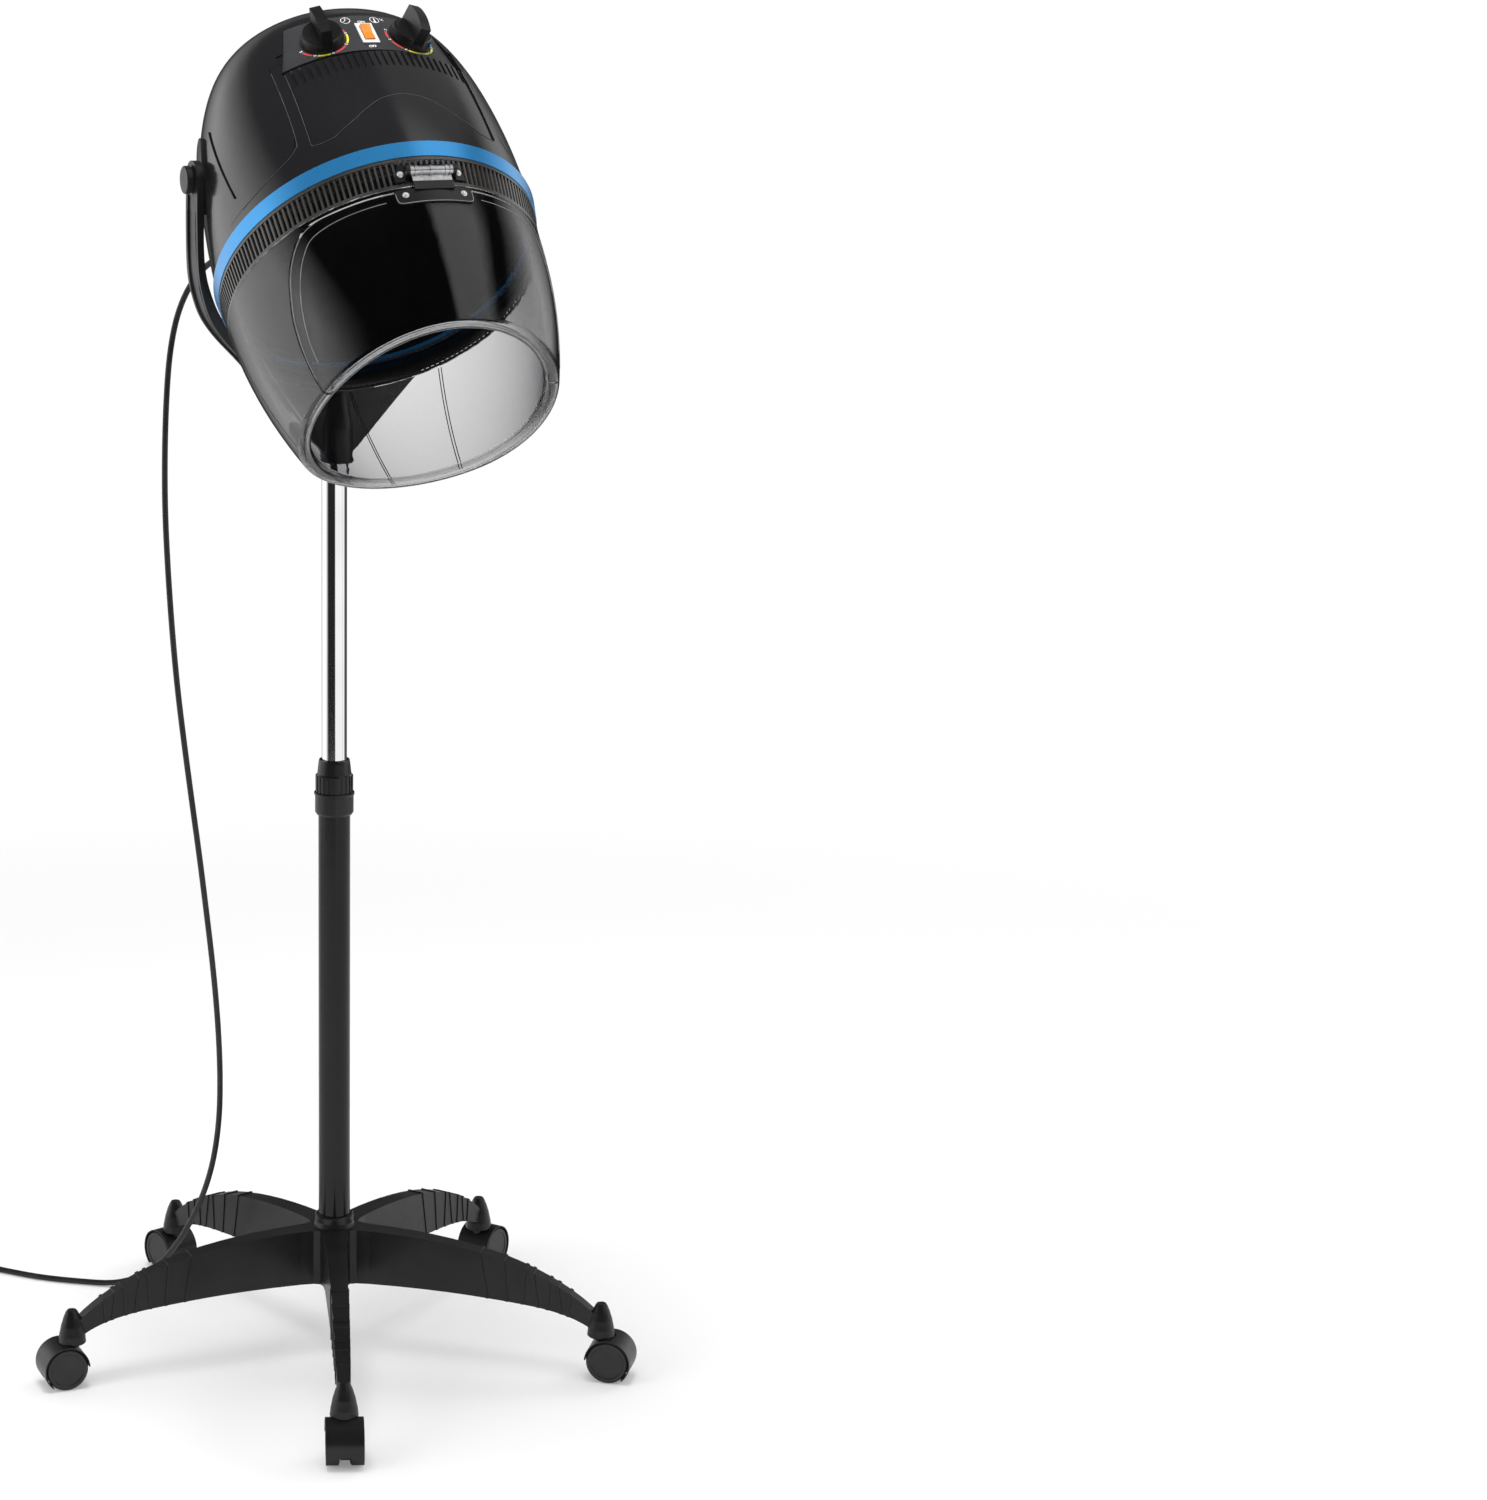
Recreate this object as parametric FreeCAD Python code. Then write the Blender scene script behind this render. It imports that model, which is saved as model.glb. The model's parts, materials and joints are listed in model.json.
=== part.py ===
import FreeCAD, Part
import math
import os

# Hood hair dryer on a rolling stand.
# Millimetres and degrees. +Z is up, the origin is on the floor under the column's axis,
# the hood faces -Y, and +X is on the right of someone who faces the hood.

Vec = FreeCAD.Vector
X = Vec(1, 0, 0)
Y = Vec(0, 1, 0)
Z = Vec(0, 0, 1)
ORIGIN = Vec(0, 0, 0)

# Five-legged base
LEG_COUNT = 5
FIRST_LEG = -107.33
STEM_CIRCLE = 280.0
HUB_R = 21.0
HUB_BOTTOM = 76.0
HUB_TOP = 146.0
HUB_FLOOR = 6.0
LEG_ROOT_HALF = 11.0
LEG_TIP_HALF = 6.0
LEG_WALL = 3.0
LEG_BAND_RISE = 0.9
SOCKET_CONE_R = 14.0
SOCKET_CONE_BOTTOM = 43.8
SOCKET_CONE_TOP = 78.0

# Twin-wheel casters
STEM_R = 4.0
STEM_LOW_R = 3.5
STEM_LOW = 20.0
STEM_TOP = 70.0
WHEEL_R = 21.5
WHEEL_WIDTH = 12.8
WHEEL_INNER_FACE = 5.2
CASTER_WEB_HALF = 4.6
WHEEL_RIM = 3.2
WHEEL_WEB = 2.5
WHEEL_OFFSET = 10.0
AXLE_R = 2.5
COVER_R = 23.4
COVER_INNER_R = 22.2
COVER_HALF_WIDTH = 18.5
RUNNING = 0.06

# Column, clamp and mast
COLUMN_R = 16.0
COLUMN_WALL = 1.2
COLUMN_BOTTOM = HUB_BOTTOM + HUB_FLOOR
COLUMN_TOP = 588.0
SLEEVE_BOTTOM = 567.0
SLEEVE_TOP = 590.0
SLEEVE_R = 19.3
SLEEVE_LIP_R = 20.2
COLLET_TOP = 616.0
NUT_BOTTOM = 590.3
NUT_SHOULDER = 607.0
NUT_TOP = 623.0
NUT_R = 18.6
NUT_TOP_R = 15.2
NUT_RIBS = 22
MAST_R = 12.5
MAST_WALL = 1.2
MAST_BOTTOM = 385.0
MAST_TOP = 985.0
MAST_DOWN = 270.0
MAST_UP = 130.0
BUSH_LENGTH = 30.0

# Yoke
SOCKET_BOTTOM = 920.0
SOCKET_R = 17.2
SOCKET_STRAIGHT = 955.0
SOCKET_TOP = 1000.0
SOCKET_TOP_R = 11.0
PIVOT_Y = -39.4
PIVOT_Z = 1204.4
ARM_THICK = 7.0
ARM_FACE = 156.0
ARM_EYE_R = 18.0
PLATE_FACE = 148.3
STUD_R = 4.0
KNOB_R = 13.2
KNOB_FACE = 163.9

# Hood, drawn upright about the centre of its ring and then leaned back
HOOD_TILT = 41.79
RING_CENTRE = Vec(0, -124.0, 1126.2)
RING_A = 152.0
OVAL = 1.109
RING_TOP = 15.0
RING_FLARE = 1.8
DOME_A = 150.8
DOME_TOP = 251.4
DOME_POWER = 0.413
FRONT_SLOPE = 0.223
REAR_SLOPE = 0.0
SHELL = 3.0

# Control panel, a shallow curved floor in the dome
PANEL_POINT = Vec(0, -118.6, 180.2)
PANEL_LEAN = 15.94
PANEL_RADIUS = 164.0
PANEL_THICK = 2.0
PANEL_FRONT = -25.3
PANEL_REAR = 34.0
PANEL_FRONT_HALF = 87.2
PANEL_REAR_HALF = 70.0
KNOB_AT = 43.0
KNOB_SKIRT_R = 21.0
KNOB_HEIGHT = 27.0
GRIP_HALF = 5.2
SHAFT_R = 3.0
SWITCH_W = 16.6
SWITCH_H = 30.6

# Front cover
COVER_SEAM = 96.5
COVER_TOP = 158.0
RECESS_HALF = 88.0
RECESS_BOTTOM = 41.0
RECESS_ARCH = 81.3
RECESS_DEPTH = 1.2
POCKET_FALL = 64.0
RIB_COUNT = 25
RIB_PITCH = 6.86
RIB_WIDTH = 3.2
RIB_LOW = 124.0
RIB_SUNK = 1.6

# Vent ring and visor
VENT_BOTTOM = -30.0
VENT_COUNT = 176
SLAT_WIDTH = 2.1
VENT_WALL = 3.0
VISOR_WALL = 3.0
VISOR_LEAN = 0.139
RIM_RADIUS = 831.5
RIM_Y = -22.1
RIM_LOW = -186.2
RIM_CURL = 9.5
RIM_ROUND = 7.0
MOUTH_A = 108.1
MOUTH_FRONT = 123.7
MOUTH_REAR = 127.6
MOUTH_Y = -20.5
FLAP_GAP = 0.7
HINGE_Y = -169.2
HINGE_Z = -17.0
HINGE_R = 4.9
HINGE_HALF = 20.6
CHEEK_HALF = 24.2
PAD_THICK = 1.8
LEAF_Y = -168.6
LEAF_FOOT = -28.0
SCREW_AT = 27.6
BRACKET_SCREW_Z = -18.0
FLAP_SCREW_Z = -41.0

# Cord
CORD_R = 3.0
COIL_CENTRE = Vec(-337.5, 331.6, 0)
COIL_START = 42.1
COIL_OUTER = 39.4
COIL_PITCH = 6.6
COIL_IN = 4
COIL_OUT = 5
PLUG_AWAY = 78.0
PLUG_HEIGHT = 13.0
PIN_R = 2.4
PIN_LENGTH = 19.0
PIN_APART = 19.0


def shift(shape, x, y, z):
    moved = shape.copy()
    moved.translate(Vec(x, y, z))
    return moved


def turned(shape, angle, axis=Z, centre=ORIGIN):
    copy = shape.copy()
    copy.rotate(centre, axis, angle)
    return copy


def mirrored(shape):
    return shape.mirror(ORIGIN, X)


def tube(r_out, r_in, height, base, axis=Z):
    outer = Part.makeCylinder(r_out, height, base, axis)
    return outer.cut(Part.makeCylinder(r_in, height, base, axis))


def lathe(points):
    """Solid of revolution about Z through the origin from (radius, height) points."""
    face = Part.Face(Part.makePolygon([Vec(r, 0, z) for r, z in points + points[:1]]))
    return face.revolve(ORIGIN, Z, 360)


def prism(points, direction):
    """Solid swept along a direction from a closed outline of points."""
    return Part.Face(Part.makePolygon(points + points[:1])).extrude(direction)


def smooth(points):
    curve = Part.BSplineCurve()
    curve.interpolate(points)
    return curve.toShape()


def polyline(points):
    return [Part.makeLine(a, b) for a, b in zip(points, points[1:])]


def closed_face(edges):
    return Part.Face(Part.Wire(Part.__sortEdges__(edges)))


def join(shapes):
    return shapes[0].fuse(shapes[1:]).removeSplitter()


def group(shapes):
    return Part.makeCompound(shapes)


def export(name, shape):
    solids = shape.Solids
    if not solids:
        raise ValueError(name + " holds no solid")
    for solid in solids:
        if not solid.isValid() or solid.Volume <= 0:
            print("check", name, "valid", solid.isValid(), "volume", round(solid.Volume, 1))
    whole = solids[0] if len(solids) == 1 else Part.makeCompound(solids)
    whole.exportStep("parts/" + name + ".step")
    print(name, len(solids), "solid(s)", round(whole.Volume / 1000.0, 2), "cm3")


# Placement of the hood's upright frame in the world
HOOD_PLACE = FreeCAD.Placement(RING_CENTRE, FreeCAD.Rotation(X, -HOOD_TILT)).toMatrix()


def hood(shape):
    return shape.transformed(HOOD_PLACE, True)


def to_hood(point):
    """A world point in the hood's upright frame."""
    return HOOD_PLACE.inverse().multVec(point)


PIVOT = to_hood(Vec(0, PIVOT_Y, PIVOT_Z))


def oval(a, front, rear, z, y=0.0):
    """Closed oval at height z about y: half-width a, front reach towards -Y, rear reach towards +Y."""
    halves = []
    for side, reach in ((-1, front), (1, rear)):
        start = Vec(-side, 0, 0)
        middle = Vec(0, side, 0)
        end = Vec(side, 0, 0)
        half = Part.Arc(start, middle, end).toShape()
        matrix = FreeCAD.Matrix()
        matrix.scale(a, reach, 1)
        matrix.move(0, y, z)
        halves.append(half.transformGeometry(matrix))
    return Part.Wire(halves)


def dome(inset):
    """The dome's outer form, or its form drawn in by a wall thickness."""
    height = DOME_TOP - RING_TOP - inset
    rings = []
    for angle in (-2, 10, 22, 34, 46, 57, 66, 74, 81, 86, 89):
        s = math.sin(math.radians(angle))
        r = DOME_A * math.cos(math.radians(angle)) ** DOME_POWER
        a = r - inset
        if a < 3:
            continue
        front = r * (OVAL - FRONT_SLOPE * max(s, 0)) - inset
        rear = r * (OVAL - REAR_SLOPE * max(s, 0)) - inset
        rings.append(oval(a, front, rear, RING_TOP + height * s))
    return Part.makeLoft(rings, True, False)


def barrel_half_width(z):
    """Half-width of the visor's barrel: 149 under the vent ring, drawing in to the rim."""
    t = (VENT_BOTTOM - z) / 170.0
    return 148.9 - 6.2 * t - 27.2 * t * t


def barrel(inset, low=-205.0, high=VENT_BOTTOM):
    """The visor's outer form, leaning forward as it goes down, or that form drawn in."""
    rings = []
    steps = 6
    for i in range(steps + 1):
        z = low + (high - low) * i / steps
        a = barrel_half_width(z) - inset
        b = barrel_half_width(z) * OVAL - inset
        rings.append(oval(a, b, b, z, -VISOR_LEAN * (VENT_BOTTOM - z)))
    return Part.makeLoft(rings, True, False)


def panel_frame(u, p, out):
    """Hood point at lateral u along the curved panel, p up its slope and out above its surface."""
    bend = math.asin(u / PANEL_RADIUS)
    lean = math.radians(PANEL_LEAN)
    normal = Vec(0, -math.cos(lean), math.sin(lean))
    slope = Vec(0, math.sin(lean), math.cos(lean))
    centre = PANEL_POINT - normal * PANEL_RADIUS
    direction = X * math.sin(bend) + normal * math.cos(bend)
    return centre + direction * (PANEL_RADIUS + out) + slope * p, direction, slope


def panel_axis():
    point, normal, slope = panel_frame(0, 0, 0)
    return point - normal * PANEL_RADIUS, normal, slope


def panel_window(front, rear, grow, low, high):
    """Tapered block that bounds the panel's outline, standing along the panel's normal."""
    point, normal, slope = panel_frame(0, 0, 0)
    taper = (PANEL_REAR_HALF - PANEL_FRONT_HALF) / (PANEL_REAR - PANEL_FRONT)
    corners = []
    for p, side in ((front, -1), (front, 1), (rear, 1), (rear, -1)):
        half = PANEL_FRONT_HALF + taper * (p - PANEL_FRONT) + grow
        corners.append(point + normal * low + X * side * half + slope * p)
    return prism(corners, normal * (high - low))


def panel_ring(points):
    """Solid turned about the panel's own axis from (radius, slope) points."""
    centre, normal, slope = panel_axis()
    outline = [centre + normal * r + slope * p for r, p in points]
    face = Part.Face(Part.makePolygon(outline + outline[:1]))
    start = turned(face, -45, slope, centre)
    return start.revolve(centre, slope, 90)


def on_panel(shape, u, p, out):
    """Stands a shape, drawn about Z at the origin, on the panel with its own X across the panel."""
    point, direction, slope = panel_frame(u, p, out)
    across = slope.cross(direction)
    matrix = FreeCAD.Matrix(
        across.x, slope.x, direction.x, point.x,
        across.y, slope.y, direction.y, point.y,
        across.z, slope.z, direction.z, point.z,
        0, 0, 0, 1,
    )
    return shape.transformed(matrix, True)


def leg_shape(half_extra, top_drop, start, end):
    """One leg along +X: side outline in X and Z, tapered in plan, flared at the hub."""
    top = [(12, 133.5), (60, 132.8), (124, 127), (187, 113.6), (236, 93.5), (262, 77.5), (276, 66)]
    low = [(276, 48), (262, 56.5), (236, 65.3), (187, 72), (125, 76), (60, 77), (12, 76)]
    upper = smooth([Vec(r, 0, z - top_drop) for r, z in top])
    lower = smooth([Vec(r, 0, z) for r, z in low])
    ends = [Part.makeLine(Vec(276, 0, 66 - top_drop), Vec(276, 0, 48))]
    ends.append(Part.makeLine(Vec(12, 0, 76), Vec(12, 0, 133.5 - top_drop)))
    side = closed_face([upper, lower] + ends)
    body = side.extrude(Vec(0, 60, 0))
    body = shift(body, 0, -30, 0)
    root = LEG_ROOT_HALF + half_extra
    tip = LEG_TIP_HALF + half_extra
    flare = 5.0 if half_extra >= 0 else 0.0
    plan = []
    for x, y in ((10, root + 3 * flare), (19, root + flare), (27, root + flare / 4), (40, root), (278, tip)):
        plan.append((x, y))
    outline = [Vec(max(x, start), y, 0) for x, y in plan if x <= end or x == 278]
    outline = [Vec(x, y, 0) for x, y in clip_plan(plan, start, end)]
    outline += [Vec(p.x, -p.y, 0) for p in reversed(outline)]
    return body.common(prism(outline, Vec(0, 0, 200)))


def clip_plan(plan, start, end):
    """The leg's plan half-outline between two distances from the column."""
    kept = []
    for (x0, y0), (x1, y1) in zip(plan, plan[1:]):
        lo = max(x0, start)
        hi = min(x1, end)
        if lo >= hi:
            continue
        for x in (lo, hi):
            y = y0 + (y1 - y0) * (x - x0) / (x1 - x0)
            if not kept or abs(kept[-1][0] - x) > 0.01:
                kept.append((x, y))
    return kept


def leg_bands():
    """Zigzag raised bands round the outer half of a leg."""
    lines = [(150, 168), (176, 185), (203, 196), (203, 219), (229, 222), (229, 241), (252, 243)]
    bands = []
    for i, (x_top, x_low) in enumerate(lines):
        outline = [Vec(x_top, -30, 140), Vec(x_top + 3, -30, 140), Vec(x_low + 3, -30, 40), Vec(x_low, -30, 40)]
        bands.append(prism(outline, Vec(0, 60, 0)))
    return bands


def star_base():
    leg = leg_shape(0, 0, 12, 278)
    bands = leg_shape(LEG_BAND_RISE, -LEG_BAND_RISE, 150, 268).common(join(leg_bands()))
    pockets = []
    for start, end in ((30, 96), (100, 166), (170, 236)):
        pocket = leg_shape(-LEG_WALL, LEG_WALL + 1.0, start, end)
        pockets.append(pocket.fuse(shift(pocket, 0, 0, -12)))
    leg = leg.fuse(bands)
    for pocket in pockets:
        leg = leg.cut(pocket)
    cone = lathe([
        (0, SOCKET_CONE_BOTTOM), (SOCKET_CONE_R - 0.8, SOCKET_CONE_BOTTOM), (SOCKET_CONE_R, SOCKET_CONE_BOTTOM + 1),
        (13.2, 52), (11.2, 62), (8.4, 71), (6.2, 76), (4.8, SOCKET_CONE_TOP), (0, SOCKET_CONE_TOP),
    ])
    leg = leg.fuse(shift(cone, STEM_CIRCLE, 0, 0))
    leg = leg.cut(Part.makeCylinder(STEM_R, STEM_TOP - SOCKET_CONE_BOTTOM, Vec(STEM_CIRCLE, 0, SOCKET_CONE_BOTTOM)))
    hub = lathe([
        (0, HUB_BOTTOM), (HUB_R - 1, HUB_BOTTOM), (HUB_R, HUB_BOTTOM + 1), (HUB_R, 134), (HUB_R - 1.2, 139),
        (HUB_R - 1.2, HUB_TOP - 1), (HUB_R - 2.2, HUB_TOP), (0, HUB_TOP),
    ])
    legs = [turned(leg, FIRST_LEG + 360.0 / LEG_COUNT * i) for i in range(LEG_COUNT)]
    base = join([hub] + legs)
    base = base.cut(Part.makeCylinder(COLUMN_R, 100, Vec(0, 0, COLUMN_BOTTOM)))
    return base.cut(Part.makeCylinder(5.2, 40, Vec(0, 0, HUB_BOTTOM - 5)))


def caster_stem():
    """Steel pin: fixed in the leg, with a flange over the caster and a lower end it turns on."""
    flange = SOCKET_CONE_BOTTOM - 0.8
    return lathe([
        (0, STEM_LOW), (STEM_LOW_R, STEM_LOW), (STEM_LOW_R, flange), (6.5, flange), (6.5, SOCKET_CONE_BOTTOM),
        (STEM_R, SOCKET_CONE_BOTTOM), (STEM_R, STEM_TOP - 2), (STEM_R - 1, STEM_TOP), (0, STEM_TOP),
    ])


def caster_housing():
    """Cover over the wheels, middle web and stem boss, drawn with the stem at the origin."""
    centre = Vec(WHEEL_OFFSET, 0, WHEEL_R)
    half = CASTER_WEB_HALF
    dish = SOCKET_CONE_BOTTOM - 0.9
    cover = tube(COVER_R, COVER_INNER_R, 2 * COVER_HALF_WIDTH, centre + Vec(0, -COVER_HALF_WIDTH, 0), Y)
    open_side = [
        centre, centre + Vec(-60, 0, 3), centre + Vec(-60, 0, -60), centre + Vec(45, 0, -60), centre + Vec(45, 0, -54),
    ]
    cover = cover.cut(prism([p - Y * 30 for p in open_side], Y * 60))
    web = Part.makeCylinder(COVER_INNER_R + 0.5, 2 * half, centre - Y * half, Y)
    web = web.cut(Part.makeBox(60, 60, 12.5, Vec(-30, -30, -5)))
    post = Part.makeCylinder(6.2, dish - 8, Vec(0, 0, 8))
    boss = post.common(Part.makeCylinder(WHEEL_R - WHEEL_RIM - 0.7, 20, centre - Y * 10, Y))
    neck = post.common(Part.makeBox(20, 2 * half, 60, Vec(-10, -half, 0)))
    body = join([cover, web, boss, neck])
    body = body.cut(Part.makeBox(30, 12, 13.5, Vec(WHEEL_OFFSET + 12, -6, 0)))
    body = body.cut(Part.makeCylinder(15.2, 20, Vec(0, 0, dish)))
    body = body.cut(Part.makeCylinder(STEM_LOW_R + RUNNING, 40, Vec(0, 0, STEM_LOW - 0.1)))
    body = body.cut(Part.makeCylinder(AXLE_R, 40, centre - Y * 20, Y))
    return group([body, Part.makeCylinder(AXLE_R, 32.0, centre - Y * 16.0, Y)])


def caster_wheel(side):
    """Cup-shaped wheel, open towards the middle web; side is 1 or -1 along the axle."""
    r = WHEEL_R
    inner = WHEEL_INNER_FACE
    outer = WHEEL_INNER_FACE + WHEEL_WIDTH
    hub_face = inner + 4
    section = [
        (AXLE_R + RUNNING, hub_face), (5.0, hub_face), (5.0, outer - WHEEL_WEB),
        (r - WHEEL_RIM, outer - WHEEL_WEB), (r - WHEEL_RIM, inner), (r - 1, inner), (r, inner + 1),
        (r, outer - 1.6), (r - 1.6, outer), (r - 4.5, outer), (r - 5.2, outer - 0.7), (0, outer - 0.7),
        (0, 16.1), (AXLE_R + RUNNING, 16.1),
    ]
    return shift(turned(lathe(section), -90 * side, X), WHEEL_OFFSET, 0, WHEEL_R)


def out_on_leg(shape, index):
    """Moves a caster piece from the origin to the end of one leg."""
    return turned(shift(shape, STEM_CIRCLE, 0, 0), FIRST_LEG + 360.0 / LEG_COUNT * index)


def column_tube():
    column = tube(COLUMN_R, COLUMN_R - COLUMN_WALL, COLUMN_TOP - COLUMN_BOTTOM, Vec(0, 0, COLUMN_BOTTOM))
    plate = tube(COLUMN_R - COLUMN_WALL, 5.0, 10, Vec(0, 0, COLUMN_BOTTOM))
    return join([column, plate])


def base_bolt():
    washer = tube(10, 5.2, 1.6, Vec(0, 0, HUB_BOTTOM - 1.6))
    head = prism([Vec(8.5 * math.cos(math.radians(60 * i)), 8.5 * math.sin(math.radians(60 * i)), HUB_BOTTOM - 8.0)
                  for i in range(6)], Vec(0, 0, 6.4))
    shank = Part.makeCylinder(5.0, 23.0, Vec(0, 0, HUB_BOTTOM - 1.6))
    return group([washer, join([head, shank])])


def lock_sleeve():
    """Collar on the column's top with slotted collet fingers round the mast."""
    inner = COLUMN_R
    body = lathe([
        (inner, SLEEVE_BOTTOM), (SLEEVE_R - 1.5, SLEEVE_BOTTOM), (SLEEVE_R, SLEEVE_BOTTOM + 2.5),
        (SLEEVE_R, SLEEVE_TOP - 3.5), (SLEEVE_LIP_R, SLEEVE_TOP - 2.5), (SLEEVE_LIP_R, SLEEVE_TOP - 0.6),
        (SLEEVE_LIP_R - 0.6, SLEEVE_TOP), (16.2, SLEEVE_TOP), (16.2, SLEEVE_TOP + 10), (14.6, COLLET_TOP - 6),
        (13.9, COLLET_TOP), (MAST_R + RUNNING, COLLET_TOP), (MAST_R + RUNNING, COLUMN_TOP - 18),
        (COLUMN_R - COLUMN_WALL, COLUMN_TOP - 18), (COLUMN_R - COLUMN_WALL, COLUMN_TOP), (inner, COLUMN_TOP),
    ])
    for i in range(3):
        slot = Part.makeBox(40, 1.6, 26, Vec(-20, -0.8, SLEEVE_TOP + 2))
        body = body.cut(turned(slot, 60 * i))
    return body


def lock_nut():
    nut = lathe([
        (16.5, NUT_BOTTOM), (NUT_R - 0.5, NUT_BOTTOM), (NUT_R - 0.5, NUT_SHOULDER), (NUT_R - 1.6, NUT_SHOULDER + 2),
        (NUT_TOP_R + 0.6, NUT_TOP - 3), (NUT_TOP_R, NUT_TOP), (MAST_R + 0.7, NUT_TOP), (MAST_R + 0.7, COLLET_TOP + 0.4),
        (14.3, COLLET_TOP + 0.4), (15.0, COLLET_TOP - 6), (16.5, SLEEVE_TOP + 10),
    ])
    ribs = []
    for i in range(NUT_RIBS):
        rib = Part.makeBox(2.4, 2.2, NUT_SHOULDER - NUT_BOTTOM, Vec(NUT_R - 2.2, -1.1, NUT_BOTTOM))
        ribs.append(turned(rib, 360.0 / NUT_RIBS * i))
    return join([nut] + ribs)


def mast_tube():
    return tube(MAST_R, MAST_R - MAST_WALL, MAST_TOP - MAST_BOTTOM, Vec(0, 0, MAST_BOTTOM))


def mast_bush():
    """Guide that keeps the mast's lower end central in the column."""
    bore = COLUMN_R - COLUMN_WALL
    return lathe([
        (MAST_R, MAST_BOTTOM), (MAST_R, MAST_BOTTOM + BUSH_LENGTH), (bore - 1.2, MAST_BOTTOM + BUSH_LENGTH),
        (bore - RUNNING, MAST_BOTTOM + BUSH_LENGTH - 2), (bore - RUNNING, MAST_BOTTOM - 2), (bore - 1.2, MAST_BOTTOM - 4),
        (MAST_R - MAST_WALL - 2, MAST_BOTTOM - 4), (MAST_R - MAST_WALL - 2, MAST_BOTTOM),
    ])


ARM_OUTER = [
    (156.0, 1222), (156.0, 1175), (154.6, 1140), (150.3, 1106), (144.3, 1087), (137.0, 1071), (126.5, 1056),
    (114.0, 1042), (101.0, 1029), (85.0, 1011), (66.0, 988), (45.0, 963), (28.0, 944), (15.0, 930),
]
ARM_INNER = [
    (149.0, 1222), (149.0, 1175), (148.4, 1142), (143.6, 1110), (137.4, 1093), (129.6, 1077.5), (119.5, 1063.5),
    (107.0, 1050), (94.0, 1037), (80.0, 1021.5), (66.0, 1010), (45.0, 1001), (20.0, 997), (0.0, 996),
]


def yoke_outline():
    """The fork seen from the front: two curved arms that run down into a V web."""
    outer = smooth([Vec(x, 0, z) for x, z in ARM_OUTER])
    inner = smooth([Vec(x, 0, z) for x, z in ARM_INNER])
    top = Part.makeLine(Vec(ARM_OUTER[0][0], 0, 1222), Vec(ARM_INNER[0][0], 0, 1222))
    foot = Part.makeLine(Vec(15.0, 0, 930), Vec(0, 0, 930))
    middle = Part.makeLine(Vec(0, 0, 930), Vec(0, 0, 996))
    return closed_face([outer, inner, top, foot, middle])


def yoke_side(extra):
    """Side outline of the fork: an eye at the pivot, an arm that leans back, a thin foot."""
    front = [(-57.4, 1204.4), (-56.5, 1180), (-51, 1130), (-42, 1090), (-28, 1050), (-17, 1015), (-10, 985), (-7, 950)]
    rear = [(7, 950), (9, 985), (12, 1015), (9, 1045), (0, 1080), (-11, 1120), (-18.5, 1165), (-21.4, 1204.4)]
    edges = [smooth([Vec(0, y - extra, z) for y, z in front])]
    edges.append(smooth([Vec(0, y + extra, z) for y, z in rear]))
    edges.append(Part.makeLine(Vec(0, -7 - extra, 950), Vec(0, -7 - extra, 925)))
    edges.append(Part.makeLine(Vec(0, -7 - extra, 925), Vec(0, 7 + extra, 925)))
    edges.append(Part.makeLine(Vec(0, 7 + extra, 925), Vec(0, 7 + extra, 950)))
    eye = Part.Arc(
        Vec(0, -57.4 - extra, PIVOT_Z), Vec(0, PIVOT_Y, PIVOT_Z + ARM_EYE_R + extra), Vec(0, -21.4 + extra, PIVOT_Z))
    edges.append(eye.toShape())
    return closed_face(edges)


def yoke():
    half = yoke_outline().extrude(Vec(0, 200, 0))
    half = shift(half, 0, -100, 0)
    side = yoke_side(0).extrude(Vec(170, 0, 0))
    half = half.common(side)
    groove = yoke_side(-5.5).extrude(Vec(170, 0, 0))
    skin = yoke_outline().extrude(Vec(0, 200, 0))
    core = shift(shift(skin, 0, -100, 0), -1.6, 0, 1.2)
    band = groove.cut(core).common(Part.makeBox(200, 200, 190, Vec(60, -100, 1000)))
    keep_eye = Part.makeCylinder(15.5, 40, Vec(140, PIVOT_Y, PIVOT_Z), X)
    half = half.cut(band.cut(keep_eye).cut(Part.makeBox(200, 200, 60, Vec(0, -100, 1192))))
    boss = Part.makeCylinder(14.0, 1.6, Vec(ARM_FACE - 0.8, PIVOT_Y, PIVOT_Z), X)
    half = half.fuse(boss)
    half = half.cut(Part.makeCylinder(STUD_R + RUNNING, 60, Vec(130, PIVOT_Y, PIVOT_Z), X))
    socket = lathe([
        (0, SOCKET_BOTTOM), (SOCKET_R - 0.6, SOCKET_BOTTOM), (SOCKET_R, SOCKET_BOTTOM + 0.8), (SOCKET_R, SOCKET_STRAIGHT),
        (SOCKET_TOP_R + 1.0, SOCKET_TOP - 6), (SOCKET_TOP_R, SOCKET_TOP), (0, SOCKET_TOP),
    ])
    body = join([half, mirrored(half), socket])
    body = body.cut(Part.makeCylinder(MAST_R + RUNNING, MAST_TOP - SOCKET_BOTTOM + 0.3, Vec(0, 0, SOCKET_BOTTOM)))
    return body.cut(Part.makeCylinder(2.5, 30, Vec(0, 0, SOCKET_BOTTOM + 16), Y))


def socket_screw():
    """Set screw at the back of the socket, its point in a groove of the mast."""
    return Part.makeCylinder(2.5, SOCKET_R - MAST_R - 0.6, Vec(0, MAST_R + 0.3, SOCKET_BOTTOM + 16), Y)


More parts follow.
